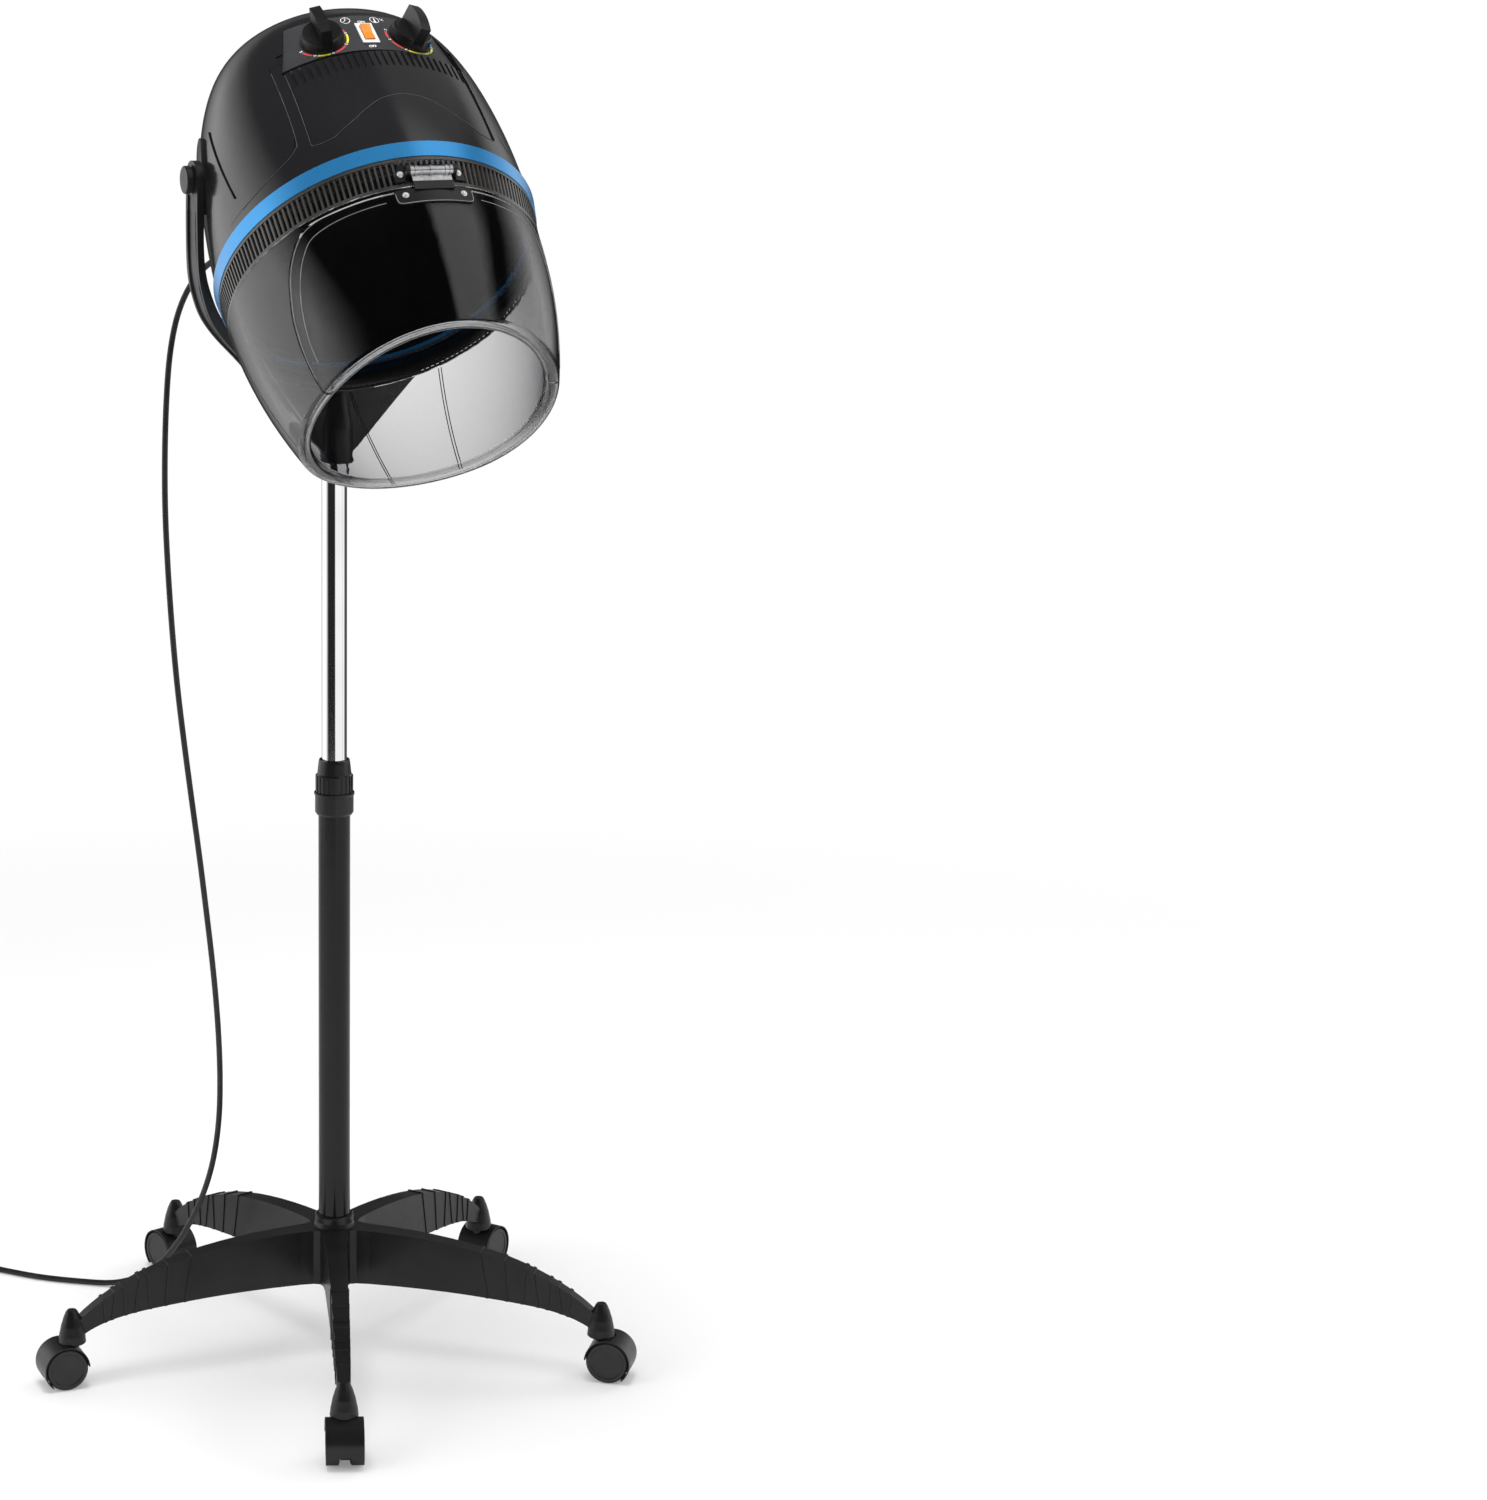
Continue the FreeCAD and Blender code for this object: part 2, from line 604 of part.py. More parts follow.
def pivot_knob():
    """Round clamping knob on the stud, outside the arm, for +X."""
    inner = ARM_FACE + 1.1
    cap = lathe([
        (STUD_R + RUNNING, 0), (KNOB_R - 1.2, 0), (KNOB_R - 1.2, 1.6), (KNOB_R, 1.6), (KNOB_R, KNOB_FACE - inner - 0.8),
        (KNOB_R - 0.8, KNOB_FACE - inner), (0, KNOB_FACE - inner), (0, KNOB_FACE - inner - 2), (STUD_R + RUNNING, KNOB_FACE - inner - 2),
    ])
    return shift(turned(cap, 90, Y), inner, PIVOT_Y, PIVOT_Z)


def pivot_stud():
    """Threaded stud from the hood's side plate, through the arm, into the knob, in the hood's frame."""
    face = KNOB_FACE - 2.4
    stud = Part.makeCylinder(STUD_R, face - 141.0, Vec(141.0, PIVOT.y, PIVOT.z), X)
    collar = Part.makeCylinder(10.0, 148.6 - 146.0, Vec(146.0, PIVOT.y, PIVOT.z), X)
    return stud, collar


def stadium(width, low, high, y, x0, x1):
    """Rounded bar outline in Y and Z, swept along X."""
    r = width / 2.0
    box = Part.makeBox(x1 - x0, width, high - low - width, Vec(x0, y - r, low + r))
    top = Part.makeCylinder(r, x1 - x0, Vec(x0, y, high - r), X)
    foot = Part.makeCylinder(r, x1 - x0, Vec(x0, y, low + r), X)
    return join([box, top, foot])


def pivot_plate(dome_outer):
    """Long reinforcing plate that follows the dome's side round the pivot."""
    outline = stadium(25.0, 76.0, 160.0, PIVOT.y, 120.0, 152.0)
    slab = outline.common(dome(-3.2)).cut(dome_outer)
    slab = slab.common(Part.makeBox(PLATE_FACE, 400, 400, Vec(0, -200, 0)))
    pad = Part.makeCylinder(12.4, 30, Vec(118.0, PIVOT.y, PIVOT.z), X).cut(dome_outer)
    pad = pad.common(Part.makeBox(146.0, 60, 60, Vec(0, PIVOT.y - 30, PIVOT.z - 30)))
    plate = join([slab, pad])
    return plate.cut(Part.makeCylinder(STUD_R, 60, Vec(110.0, PIVOT.y, PIVOT.z), X))


def cover_outline(grow):
    """Outline of the front cover seen from the front, with its band that flares out over the ring."""
    side = COVER_SEAM + grow
    points = [
        Vec(side - 1, -200, COVER_TOP + grow), Vec(side + 1.5, -200, 62 + grow), Vec(side + 5, -200, 47 + grow),
        Vec(side + 16, -200, 38 + grow), Vec(side + 34, -200, 30 + grow), Vec(165, -200, 22 + grow), Vec(165, -200, 0),
    ]
    return points + [Vec(-p.x, p.y, p.z) for p in reversed(points)]


def hood_shells():
    """Outer dome, its front cover and the panel's curved floor, from one walled body."""
    outer = dome(0)
    inner = dome(SHELL)
    floor = PANEL_RADIUS - PANEL_THICK
    pocket = panel_ring([(floor, PANEL_FRONT), (floor + 50, PANEL_FRONT - POCKET_FALL), (floor + 50, 70), (floor, 70)])
    pocket = pocket.common(panel_window(-88, 68, 0, -45, 60))
    deep = floor - SHELL
    lip = PANEL_FRONT - 1.2
    void = panel_ring([(deep, lip), (deep + 50, lip - POCKET_FALL), (deep + 50, 75), (deep, 75)])
    void = void.common(panel_window(-92, 74, SHELL, -50, 60))
    recess = recess_outline().cut(dome(RECESS_DEPTH))
    under = Part.makeBox(2 * RECESS_HALF + 8, 180, 132, Vec(-RECESS_HALF - 4, -200, RECESS_BOTTOM - 4))
    under = under.cut(dome(RECESS_DEPTH + 2.6))
    shell = outer.cut(pocket).cut(recess).cut(inner.cut(void).cut(under))
    above = Part.makeBox(400, 400, 300, Vec(-200, -200, RING_TOP))
    shell = shell.common(above)
    front = prism(cover_outline(0), Vec(0, 165, 0))
    gap = prism(cover_outline(0.4), Vec(0, 165, 0))
    return outer, shell.common(front), shell.cut(gap)


def recess_outline():
    """Sunk field of the front cover: straight sides and an arch that rises from two low corners."""
    top = RECESS_BOTTOM + 130
    low = RECESS_BOTTOM
    wide = RECESS_HALF + 1.5
    cusp = 70.9
    edges = []
    for side in (-1, 1):
        edges.append(Part.makeLine(Vec(side * (RECESS_HALF - 1.2), -200, top), Vec(side * wide, -200, low + 3)))
        corner = [(wide, low + 3), (wide - 0.9, low + 0.8), (wide - 3, low)]
        edges.append(smooth([Vec(side * x, -200, z) for x, z in corner]))
        foot = [(wide - 3, low), (80, low - 0.6), (cusp, low + 0.7)]
        edges.append(smooth([Vec(side * x, -200, z) for x, z in foot]))
        rise = [(cusp, low + 0.7), (62.1, 48.0), (50.4, 55.8), (35.0, 67.7), (19.3, 77.0), (0, RECESS_ARCH)]
        edges.append(smooth([Vec(side * x, -200, z) for x, z in rise]))
    edges.append(Part.makeLine(Vec(1.2 - RECESS_HALF, -200, top), Vec(RECESS_HALF - 1.2, -200, top)))
    return closed_face(edges).extrude(Vec(0, 180, 0))


def rib_grooves():
    """Row of shallow grooves that the comb's ribs run down into, under the panel's front edge."""
    grooves = []
    for i in range(RIB_COUNT):
        x = (i - (RIB_COUNT - 1) / 2.0) * RIB_PITCH
        low = RIB_LOW - 1.2 * (x / 55.0) ** 2
        grooves.append(Part.makeBox(RIB_WIDTH, 90, 160 - low, Vec(x - RIB_WIDTH / 2, -175, low)))
    return group(grooves).cut(dome(RECESS_DEPTH + RIB_SUNK))


def comb_gaps():
    """Air inlets between the ribs, through the sloping wall in front of the panel."""
    gaps = []
    width = RIB_PITCH - RIB_WIDTH
    floor = PANEL_RADIUS - PANEL_THICK
    for i in range(RIB_COUNT - 1):
        x = (i - (RIB_COUNT - 2) / 2.0) * RIB_PITCH
        foot, direction, slope = panel_frame(x, PANEL_FRONT, -PANEL_THICK)
        back = foot.y - 1.0
        front = 2.5 - 137.5 * math.sqrt(1 - (x / 140.2) ** 2)
        gaps.append(Part.makeBox(width, back - front, 19, Vec(x - width / 2, front, foot.z - 16)))
    return gaps


def control_panel():
    """Curved facia in the pocket, with holes for two shafts and the switch."""
    seat = PANEL_RADIUS - PANEL_THICK + 0.08
    plate = panel_ring([
        (seat, PANEL_FRONT + 0.5), (PANEL_RADIUS, PANEL_FRONT + 0.5), (PANEL_RADIUS, PANEL_REAR - 4), (seat, PANEL_REAR - 4),
    ])
    return plate.common(panel_window(PANEL_FRONT - 5, PANEL_REAR + 5, -0.6, -30, 10))


def panel_holes():
    shaft = Part.makeCylinder(5.2, 40, Vec(0, 0, -30))
    holes = [on_panel(shaft, KNOB_AT * side, 0, 0) for side in (-1, 1)]
    window = Part.makeBox(SWITCH_W - 3, SWITCH_H - 3, 40, Vec(-(SWITCH_W - 3) / 2, -(SWITCH_H - 3) / 2, -30))
    holes.append(on_panel(window, 0, 0, 0))
    return holes


def knob():
    """Pointer knob: round skirt with a bar grip and a blind shaft hole, base at z 0."""
    skirt = lathe([(0, 0), (KNOB_SKIRT_R, 0), (KNOB_SKIRT_R, 1.5), (KNOB_SKIRT_R - 1.6, 8.2), (KNOB_SKIRT_R - 3.0, 9.5), (0, 9.5)])
    grip = prism([
        Vec(-GRIP_HALF, -KNOB_SKIRT_R + 1.0, 4), Vec(GRIP_HALF, -KNOB_SKIRT_R + 1.0, 4),
        Vec(GRIP_HALF, KNOB_SKIRT_R - 1.0, 4), Vec(-GRIP_HALF, KNOB_SKIRT_R - 1.0, 4),
    ], Vec(0, 0, KNOB_HEIGHT - 4))
    crown = Part.makeCylinder(60, 80, Vec(-40, 0, KNOB_HEIGHT - 60), X)
    grip = grip.common(crown)
    grip = grip.common(Part.makeCylinder(KNOB_SKIRT_R - 0.6, 40))
    body = join([skirt, grip])
    return body.cut(Part.makeCylinder(SHAFT_R, 12, Vec(0, 0, 0)))


def switch_body():
    """Bezel frame over the panel and the switch's box behind it."""
    frame = Part.makeBox(SWITCH_W, SWITCH_H, 1.4, Vec(-SWITCH_W / 2, -SWITCH_H / 2, 0.3))
    box = Part.makeBox(SWITCH_W - 3.4, SWITCH_H - 3.4, 18, Vec(-(SWITCH_W - 3.4) / 2, -(SWITCH_H - 3.4) / 2, -17.5))
    well = Part.makeBox(10.6, 22.6, 9, Vec(-5.3, -11.3, -6))
    pins = [Part.makeBox(4.8, 0.8, 8, Vec(-2.4, y, -25.4)) for y in (-8, 0, 8)]
    return join([frame, box] + pins).cut(well)


def switch_rocker(lean):
    """Rocking cap: two shallow faces that meet over the pivot."""
    profile = [
        Vec(-4.9, -10.6, 0.8), Vec(-4.9, -10.2, 4.0), Vec(-4.9, 0, 2.5), Vec(-4.9, 10.2, 4.0), Vec(-4.9, 10.6, 0.8),
        Vec(-4.9, 4, -4.0), Vec(-4.9, -4, -4.0),
    ]
    cap = prism(profile, Vec(9.8, 0, 0))
    return turned(cap, lean, X)


def ring_half_width(z):
    """Half-width of the vent ring: it widens upwards from the visor to the blue band."""
    return barrel_half_width(VENT_BOTTOM) + 2.4 * (z - VENT_BOTTOM) / -VENT_BOTTOM


def vent_ring():
    """Slotted ring under the blue band: upper and lower hoops joined by slats."""
    upper = ring_solid(0, -3.5, 0).cut(ring_solid(-VENT_WALL, -3.5, 0))
    lower = ring_solid(0, VENT_BOTTOM, VENT_BOTTOM + 3).cut(ring_solid(-VENT_WALL, VENT_BOTTOM, VENT_BOTTOM + 3))
    slats = []
    a = barrel_half_width(VENT_BOTTOM)
    lean = math.degrees(math.atan(2.4 / -VENT_BOTTOM))
    blank = Part.makeBox(VENT_WALL - 0.7, SLAT_WIDTH, 25.6, Vec(-VENT_WALL + 0.35, -SLAT_WIDTH / 2, 2.2))
    blank = turned(blank, lean, Y)
    for i in range(VENT_COUNT):
        t = 2 * math.pi * i / VENT_COUNT
        b = a * OVAL
        at = Vec(a * math.cos(t), b * math.sin(t), 0)
        normal = Vec(b * math.cos(t), a * math.sin(t), 0).normalize()
        slat = turned(blank, math.degrees(math.atan2(normal.y, normal.x)))
        slats.append(shift(slat, at.x, at.y, VENT_BOTTOM))
    return upper.fuse([lower] + slats).cut(hinge_window())


def trim_ring():
    """Bright band between dome and vent ring, a little wider at its top edge."""
    low = RING_A
    high = RING_A + RING_FLARE
    out = Part.makeLoft([oval(a, a * OVAL, a * OVAL, z) for a, z in ((low, 0.0), (high, RING_TOP))], True, True)
    core = Part.makeLoft([oval(a, a * OVAL, a * OVAL, z) for a, z in ((146.0, 0.0), (146.0, RING_TOP))], True, True)
    return out.cut(core)


def rim_block(grow):
    """Everything above the visor's curved rim surface."""
    centre = Vec(-300, RIM_Y, RIM_LOW + RIM_RADIUS)
    return Part.makeCylinder(RIM_RADIUS - grow, 600, centre, X)


def flap_outline(grow):
    """Outline of the flap in the side view, swept across the whole visor."""
    g = grow
    edges = [Part.makeLine(Vec(-200, -190, -34.5 + g), Vec(-200, -122, -34.5 + g))]
    side = [(-122, -34.5), (-108, -39), (-98.5, -51), (-89.5, -67), (-82, -87), (-74.5, -112), (-69, -144), (-67, -175), (-66.5, -215)]
    edges.append(smooth([Vec(-200, y + g if i else y, z + g) for i, (y, z) in enumerate(side)]))
    edges.append(Part.makeLine(Vec(-200, -66.5 + g, -215 + g), Vec(-200, -190, -215 + g)))
    edges.append(Part.makeLine(Vec(-200, -190, -215 + g), Vec(-200, -190, -34.5 + g)))
    return closed_face(edges).extrude(Vec(400, 0, 0))


def rounded_foot(shape, radius, reach):
    """Rounds the edges round a visor form's foot that stay within reach of its middle."""
    foot = [e for e in shape.Edges if e.BoundBox.ZMax < -150 and max(e.BoundBox.XMax, -e.BoundBox.XMin) < reach]
    return shape.makeFillet(radius, foot)


def mouth_block(grow, high):
    """Upright block of the mouth's oval outline, grown outwards."""
    rings = [oval(MOUTH_A + grow, MOUTH_FRONT + grow, MOUTH_REAR + grow, z, MOUTH_Y) for z in (-230.0, high)]
    return Part.makeLoft(rings, True, True)


def visor_shell():
    """Barrel wall whose rim turns in and up again round the mouth."""
    high = VENT_BOTTOM + 1
    near = MOUTH_A + 1
    outer = rounded_foot(barrel(0).common(rim_block(0)), RIM_ROUND, 200)
    outer = rounded_foot(outer.cut(mouth_block(0, high)), RIM_ROUND - 0.5, near)
    inner = barrel(VISOR_WALL, high=high).common(rim_block(VISOR_WALL))
    inner = rounded_foot(inner, RIM_ROUND - VISOR_WALL, 200)
    inner = rounded_foot(inner.cut(mouth_block(VISOR_WALL, high + 1)), RIM_ROUND - 0.5 - VISOR_WALL, near + VISOR_WALL)
    above = mouth_block(VISOR_WALL + 0.5, high).common(rim_block(RIM_CURL))
    return outer.cut(inner).cut(above)


def ring_solid(grow, low, high):
    """Closed block of the vent ring's outer form, grown outwards."""
    rings = []
    for z in (low, high):
        a = ring_half_width(z)
        rings.append(oval(a + grow, a * OVAL + grow, a * OVAL + grow, z))
    return Part.makeLoft(rings, True, True)


def hinge_window():
    """Opening in the vent ring that the hinge drops into."""
    return Part.makeBox(2 * CHEEK_HALF, 12, 17.5, Vec(-CHEEK_HALF, -172, -25.8))


def hinge_bracket():
    """Curved pad on the vent ring with a recessed pan and two cheeks that carry the hinge pin."""
    pad = ring_solid(PAD_THICK, -26.2, -7.8).cut(ring_solid(0, -27, -7))
    outline = [Vec(-33, -200, -25.8), Vec(33, -200, -25.8), Vec(33, -200, -20), Vec(28.5, -200, -8.3),
               Vec(-28.5, -200, -8.3), Vec(-33, -200, -20)]
    pad = pad.common(prism(outline, Y * 60)).cut(hinge_window())
    pan = Part.makeBox(2 * CHEEK_HALF, 1.4, 17.5, Vec(-CHEEK_HALF, -163.2, -25.8))
    cheeks = []
    for x in (-CHEEK_HALF, HINGE_HALF):
        width = CHEEK_HALF - HINGE_HALF
        cheek = Part.makeBox(width, -161.8 - HINGE_Y, 2 * HINGE_R, Vec(x, HINGE_Y, HINGE_Z - HINGE_R))
        cheeks.append(cheek.fuse(Part.makeCylinder(HINGE_R, width, Vec(x, HINGE_Y, HINGE_Z), X)))
    bore = Part.makeCylinder(1.6 + RUNNING, 2 * CHEEK_HALF, Vec(-CHEEK_HALF, HINGE_Y, HINGE_Z), X)
    return join([pad, pan] + cheeks).cut(bore)


def round_screw(x, z, surface):
    """Domed screw whose head stands on a curved pad."""
    y = -surface * math.sqrt(1 - (x / ring_half_width(z)) ** 2)
    dome_head = Part.makeSphere(3.6, Vec(x, y + 1.6, z)).common(Part.makeBox(10, 10, 10, Vec(x - 5, y - 9.6, z - 5)))
    return join([dome_head, Part.makeCylinder(1.3, 6.0, Vec(x, y - 0.8, z), Y)])


def hinge_barrel():
    """Turning barrel with collars, stub pins and a leaf that reaches down to the flap."""
    half = HINGE_HALF - 0.2
    body = Part.makeCylinder(HINGE_R - 0.6, 2 * half, Vec(-half, HINGE_Y, HINGE_Z), X)
    collars = [Part.makeCylinder(HINGE_R, 3.0, Vec(x, HINGE_Y, HINGE_Z), X) for x in (-half, half - 7.4, -half + 4.4, half - 3.0)]
    collars.append(Part.makeCylinder(HINGE_R, 3.0, Vec(-1.5, HINGE_Y, HINGE_Z), X))
    pin = Part.makeCylinder(1.6, 2 * CHEEK_HALF - 0.6, Vec(-CHEEK_HALF + 0.3, HINGE_Y, HINGE_Z), X)
    leaf = Part.makeBox(2 * half - 3, 1.8, 11.0, Vec(-half + 1.5, LEAF_Y, LEAF_FOOT))
    return join([body, pin, leaf] + collars)


def flap_bracket():
    """Curved plate on the flap with a tongue that meets the hinge's leaf."""
    outline = Part.makeBox(73.0, 60, 15.4, Vec(-36.5, -200, -50.0))
    corners = [e for e in outline.Edges if e.BoundBox.YLength > 59 and e.BoundBox.ZMin < -49]
    outline = outline.makeFillet(4.0, corners)
    pad = barrel(-PAD_THICK).common(outline).cut(barrel(0))
    tongue = Part.makeBox(2 * HINGE_HALF - 3.4, 1.8, LEAF_FOOT + 37.0, Vec(-HINGE_HALF + 1.7, LEAF_Y, -37.0))
    root = Part.makeBox(2 * HINGE_HALF - 3.4, 5.0, 3.2, Vec(-HINGE_HALF + 1.7, LEAF_Y, -37.0))
    return join([pad, tongue, root.cut(barrel(0))])


def inner_bowl():
    """Air bowl over the head: flange in the ring, crowned top with a field of outlet holes."""
    def bowl(inset):
        rings = []
        for z, a in ((2.0, 141.0), (40.0, 137.0), (80.0, 126.0), (112.0, 110.0), (136.0, 90.0), (150.0, 66.0), (155.0, 46.0)):
            rings.append(oval(a - inset, a * OVAL - inset, a * OVAL - inset, z - inset * 0.6 if z > 2 else z - inset))
        return Part.makeLoft(rings, True, False)
    flange = Part.makeLoft([oval(145.7, 145.7 * OVAL, 145.7 * OVAL, z) for z in (2.0, 4.5)], True, True)
    body = bowl(0).fuse(flange).cut(bowl(2.5))
    below = Part.makeBox(400, 400, 60, Vec(-200, -200, -58))
    body = body.cut(below)
    holes = []
    for count, reach in ((1, 0), (6, 16), (12, 32)):
        for i in range(count):
            t = 2 * math.pi * i / count
            at = Vec(reach * math.cos(t), reach * OVAL * math.sin(t), 140)
            holes.append(Part.makeCylinder(4.5, 30, at))
    return body.cut(group(holes))


def motor_bracket():
    """Sheet bridge that hangs the motor, bolted on the bowl's shoulder."""
    deck = Part.makeBox(150, 30, 2, Vec(-75, -15, 190))
    legs = []
    for side in (-1, 1):
        x = 73.0 if side > 0 else -75.0
        legs.append(Part.makeBox(2, 30, 192 - 149, Vec(x, -15, 149)))
        legs.append(Part.makeBox(12, 30, 2, Vec(75.0 if side > 0 else -87.0, -15, 149)))
    body = join([deck] + legs)
    return body.cut(Part.makeCylinder(9, 20, Vec(0, 0, 180)))


def fan_motor():
    """Shaded-pole motor: laminated block, coil and shaft pointing down."""
    stack = Part.makeBox(52, 44, 16, Vec(-26, -22, 196))
    coil = Part.makeCylinder(11, 30, Vec(-15, 30, 204), X)
    coil = coil.fuse(Part.makeBox(24, 14, 16, Vec(-12, 18, 196)))
    bells = [Part.makeCylinder(14, 4, Vec(0, 0, 192)), Part.makeCylinder(14, 5, Vec(0, 0, 212))]
    shaft = Part.makeCylinder(2.0, 28, Vec(0, 0, 168.4))
    return join([stack, coil] + bells + [shaft])


def fan_impeller():
    """Backward-curved blower wheel on the motor's shaft."""
    disc = tube(46, 2.0 + RUNNING, 1.6, Vec(0, 0, 184.5))
    hub = tube(7, 2.0 + RUNNING, 16, Vec(0, 0, 168.5))
    blades = []
    for i in range(9):
        t = math.radians(40 * i)
        a = Vec(14 * math.cos(t), 14 * math.sin(t), 171)
        b = Vec(30 * math.cos(t + 0.35), 30 * math.sin(t + 0.35), 171)
        c = Vec(45.5 * math.cos(t + 0.9), 45.5 * math.sin(t + 0.9), 171)
        arc = Part.Arc(a, b, c).toShape()
        inner_arc = Part.Arc(a * 1.0, b * 0.958 + Vec(0, 0, 171 * 0.042), c * 0.965 + Vec(0, 0, 171 * 0.035)).toShape()
        ends = Part.makeLine(arc.Vertexes[-1].Point, inner_arc.Vertexes[-1].Point)
        blades.append(closed_face([arc, inner_arc, ends]).extrude(Vec(0, 0, 14)))
    return join([disc, hub] + blades)


def heater_frame():
    """Crossed mica boards under the fan, on the bowl's crown."""
    boards = []
    for angle in (0, 60, 120):
        board = Part.makeBox(92, 1.2, 9.5, Vec(-46, -0.6, 157.2))
        for k in range(4):
            for side in (-1, 1):
                x = side * (14 + 8.5 * k)
                board = board.cut(Part.makeBox(2.2, 4, 3.0, Vec(x - 1.1, -2, 163.8)))
        boards.append(turned(board, angle))
    core = Part.makeCylinder(5, 9.5, Vec(0, 0, 157.2))
    return join(boards + [core])


def heater_coil():
    """Resistance wire laid in rings in the boards' notches."""
    rings = []
    for k in range(4):
        rings.append(Part.makeTorus(14 + 8.5 * k, 1.0, Vec(0, 0, 165.0)))
    return group(rings)


def thermal_cutout():
    can = Part.makeCylinder(7.5, 5, Vec(0, -62, 157.0))
    flange = Part.makeBox(24, 8, 1.0, Vec(-12, -66, 156.0))
    tabs = [Part.makeBox(0.8, 5, 8, Vec(x, -64.5, 162.0)) for x in (-4, 4)]
    return join([can, flange] + tabs)


def timer_body():
    """Clockwork timer behind the panel with its shaft through the hole."""
    case = Part.makeBox(36, 36, 15, Vec(-18, -18, -22))
    neck = Part.makeCylinder(5.0, 3.0, Vec(0, 0, -7.2))
    shaft = Part.makeCylinder(SHAFT_R - RUNNING, 17.5, Vec(0, 0, -5))
    return join([case, neck, shaft])


def thermostat_body():
    case = Part.makeCylinder(15, 14, Vec(0, 0, -21.2))
    neck = Part.makeCylinder(5.0, 3.2, Vec(0, 0, -7.4))
    shaft = Part.makeCylinder(SHAFT_R - RUNNING, 17.5, Vec(0, 0, -5))
    tabs = [Part.makeBox(6, 0.8, 8, Vec(-3, y, -29)) for y in (-6, 6)]
    return join([case, neck, shaft] + tabs)


# The cord's route: out of the strain relief, down behind the stand's left, along the floor.
CORD_ROUTE = [
    Vec(-75.0, 60.5, 1130.5), Vec(-93.5, 86, 1117), Vec(-109, 107, 1096), Vec(-122, 119, 1064),
    Vec(-131.5, 118, 1024), Vec(-139, 107, 978), Vec(-144.5, 96, 925), Vec(-147.5, 87, 868),
    Vec(-147.5, 79, 810), Vec(-146.2, 71, 751), Vec(-143, 65, 692), Vec(-137, 62, 633), Vec(-130, 60.5, 574),
    Vec(-122.4, 60, 515), Vec(-115, 62, 456), Vec(-107, 67, 397), Vec(-100, 74.5, 338), Vec(-94.5, 85, 279),
    Vec(-91.5, 99, 222), Vec(-93.5, 117, 168), Vec(-100, 139, 122), Vec(-110, 164, 80), Vec(-123, 190, 44),
    Vec(-141, 214, 18), Vec(-166, 235, 3.6), Vec(-200, 256, 3), Vec(-238, 282, 3),
]


def rounded_path(points):
    """Straight runs joined by arcs as large as the two runs at each corner allow."""
    edges = []
    radii = []
    start = points[0]
    for before, corner, after in zip(points, points[1:], points[2:]):
        into = corner - before
        out = after - corner
        turn = into.getAngle(out)
        trim = 0.45 * min(into.Length, out.Length)
        radius = trim / math.tan(turn / 2)
        a = corner - into.normalize() * trim
        b = corner + out.normalize() * trim
        chord_middle = (a + b) * 0.5
        inward = (chord_middle - corner).normalize()
        middle = chord_middle - inward * (radius * (1 - math.cos(turn / 2)))
        edges += [Part.makeLine(start, a), Part.Arc(a, middle, b).toShape()]
        radii.append(radius)
        start = b
    edges.append(Part.makeLine(start, points[-1]))
    return edges, radii


def pipe(edges, start, along):
    """Round cord swept along joined edges."""
    sweep = Part.BRepOffsetAPI.MakePipeShell(Part.Wire(edges))
    sweep.add(Part.Wire(Part.makeCircle(CORD_R, start, along)))
    sweep.build()
    sweep.makeSolid()
    return sweep.shape()


def length_of(edges):
    return sum(edge.Length for edge in edges)


def coil_entry():
    at = math.radians(COIL_START)
    radial = Vec(math.cos(at), math.sin(at), 0)
    tangent = Vec(-math.sin(at), math.cos(at), 0)
    return COIL_CENTRE + radial * COIL_OUTER + Z * CORD_R, radial, tangent


def cord():
    entry, radial, tangent = coil_entry()
    points = CORD_ROUTE + [entry - tangent * 54, entry]
    edges, radii = rounded_path(points)
    body = pipe(edges, points[0], points[1] - points[0])
    solid_section = math.pi * CORD_R ** 2 * length_of(edges)
    print("cord arc radii", [round(r) for r in radii])
    print("cord length", round(length_of(edges), 1), "volume over section times length",
          round(body.Volume / solid_section, 4))
    return body


def cord_gland():
    """Tapered strain relief on the dome's lower back, round the cord's first stretch."""
    along = (CORD_ROUTE[1] - CORD_ROUTE[0]).normalize()
    cone = lathe([(0, 0), (7.2, 0), (7.2, 3.5), (5.4, 4.5), (4.2, 26), (0, 26)])
    place = FreeCAD.Placement(CORD_ROUTE[0] - along * 26, FreeCAD.Rotation(Z, along))
    return cone.transformed(place.toMatrix(), True)


def coil_path():
    """Half turns that spiral in on the floor, climb, and spiral out on top."""
    entry, radial, tangent = coil_entry()
    step = COIL_PITCH / 2
    reach = COIL_OUTER
    level = CORD_R
    side = 1
    edges = []
    for i in range(COIL_IN + 1 + COIL_OUT):
        climb = COIL_PITCH if i == COIL_IN else 0
        following = reach - step if i <= COIL_IN else reach + step
        if i == COIL_IN + 1:
            following += step
        a = COIL_CENTRE + radial * (side * reach) + Z * level
        b = COIL_CENTRE - radial * (side * following) + Z * (level + climb)
        middle = (a + b) * 0.5 + tangent * (side * (reach + following) / 2)
        edges.append(Part.Arc(a, middle, b).toShape())
        reach = following
        level += climb
        side = -side
    return edges


def least_gap(edges, spacing):
    """Least free space between two stretches of one cord, measured on points along it."""
    points = []
    for edge in edges:
        count = max(2, int(edge.Length / spacing))
        points += edge.discretize(count)[:-1]
    apart = int(6 * CORD_R / spacing) + 2
    nearest = min((p - q).Length for i, p in enumerate(points) for q in points[i + apart:])
    return nearest - 2 * CORD_R


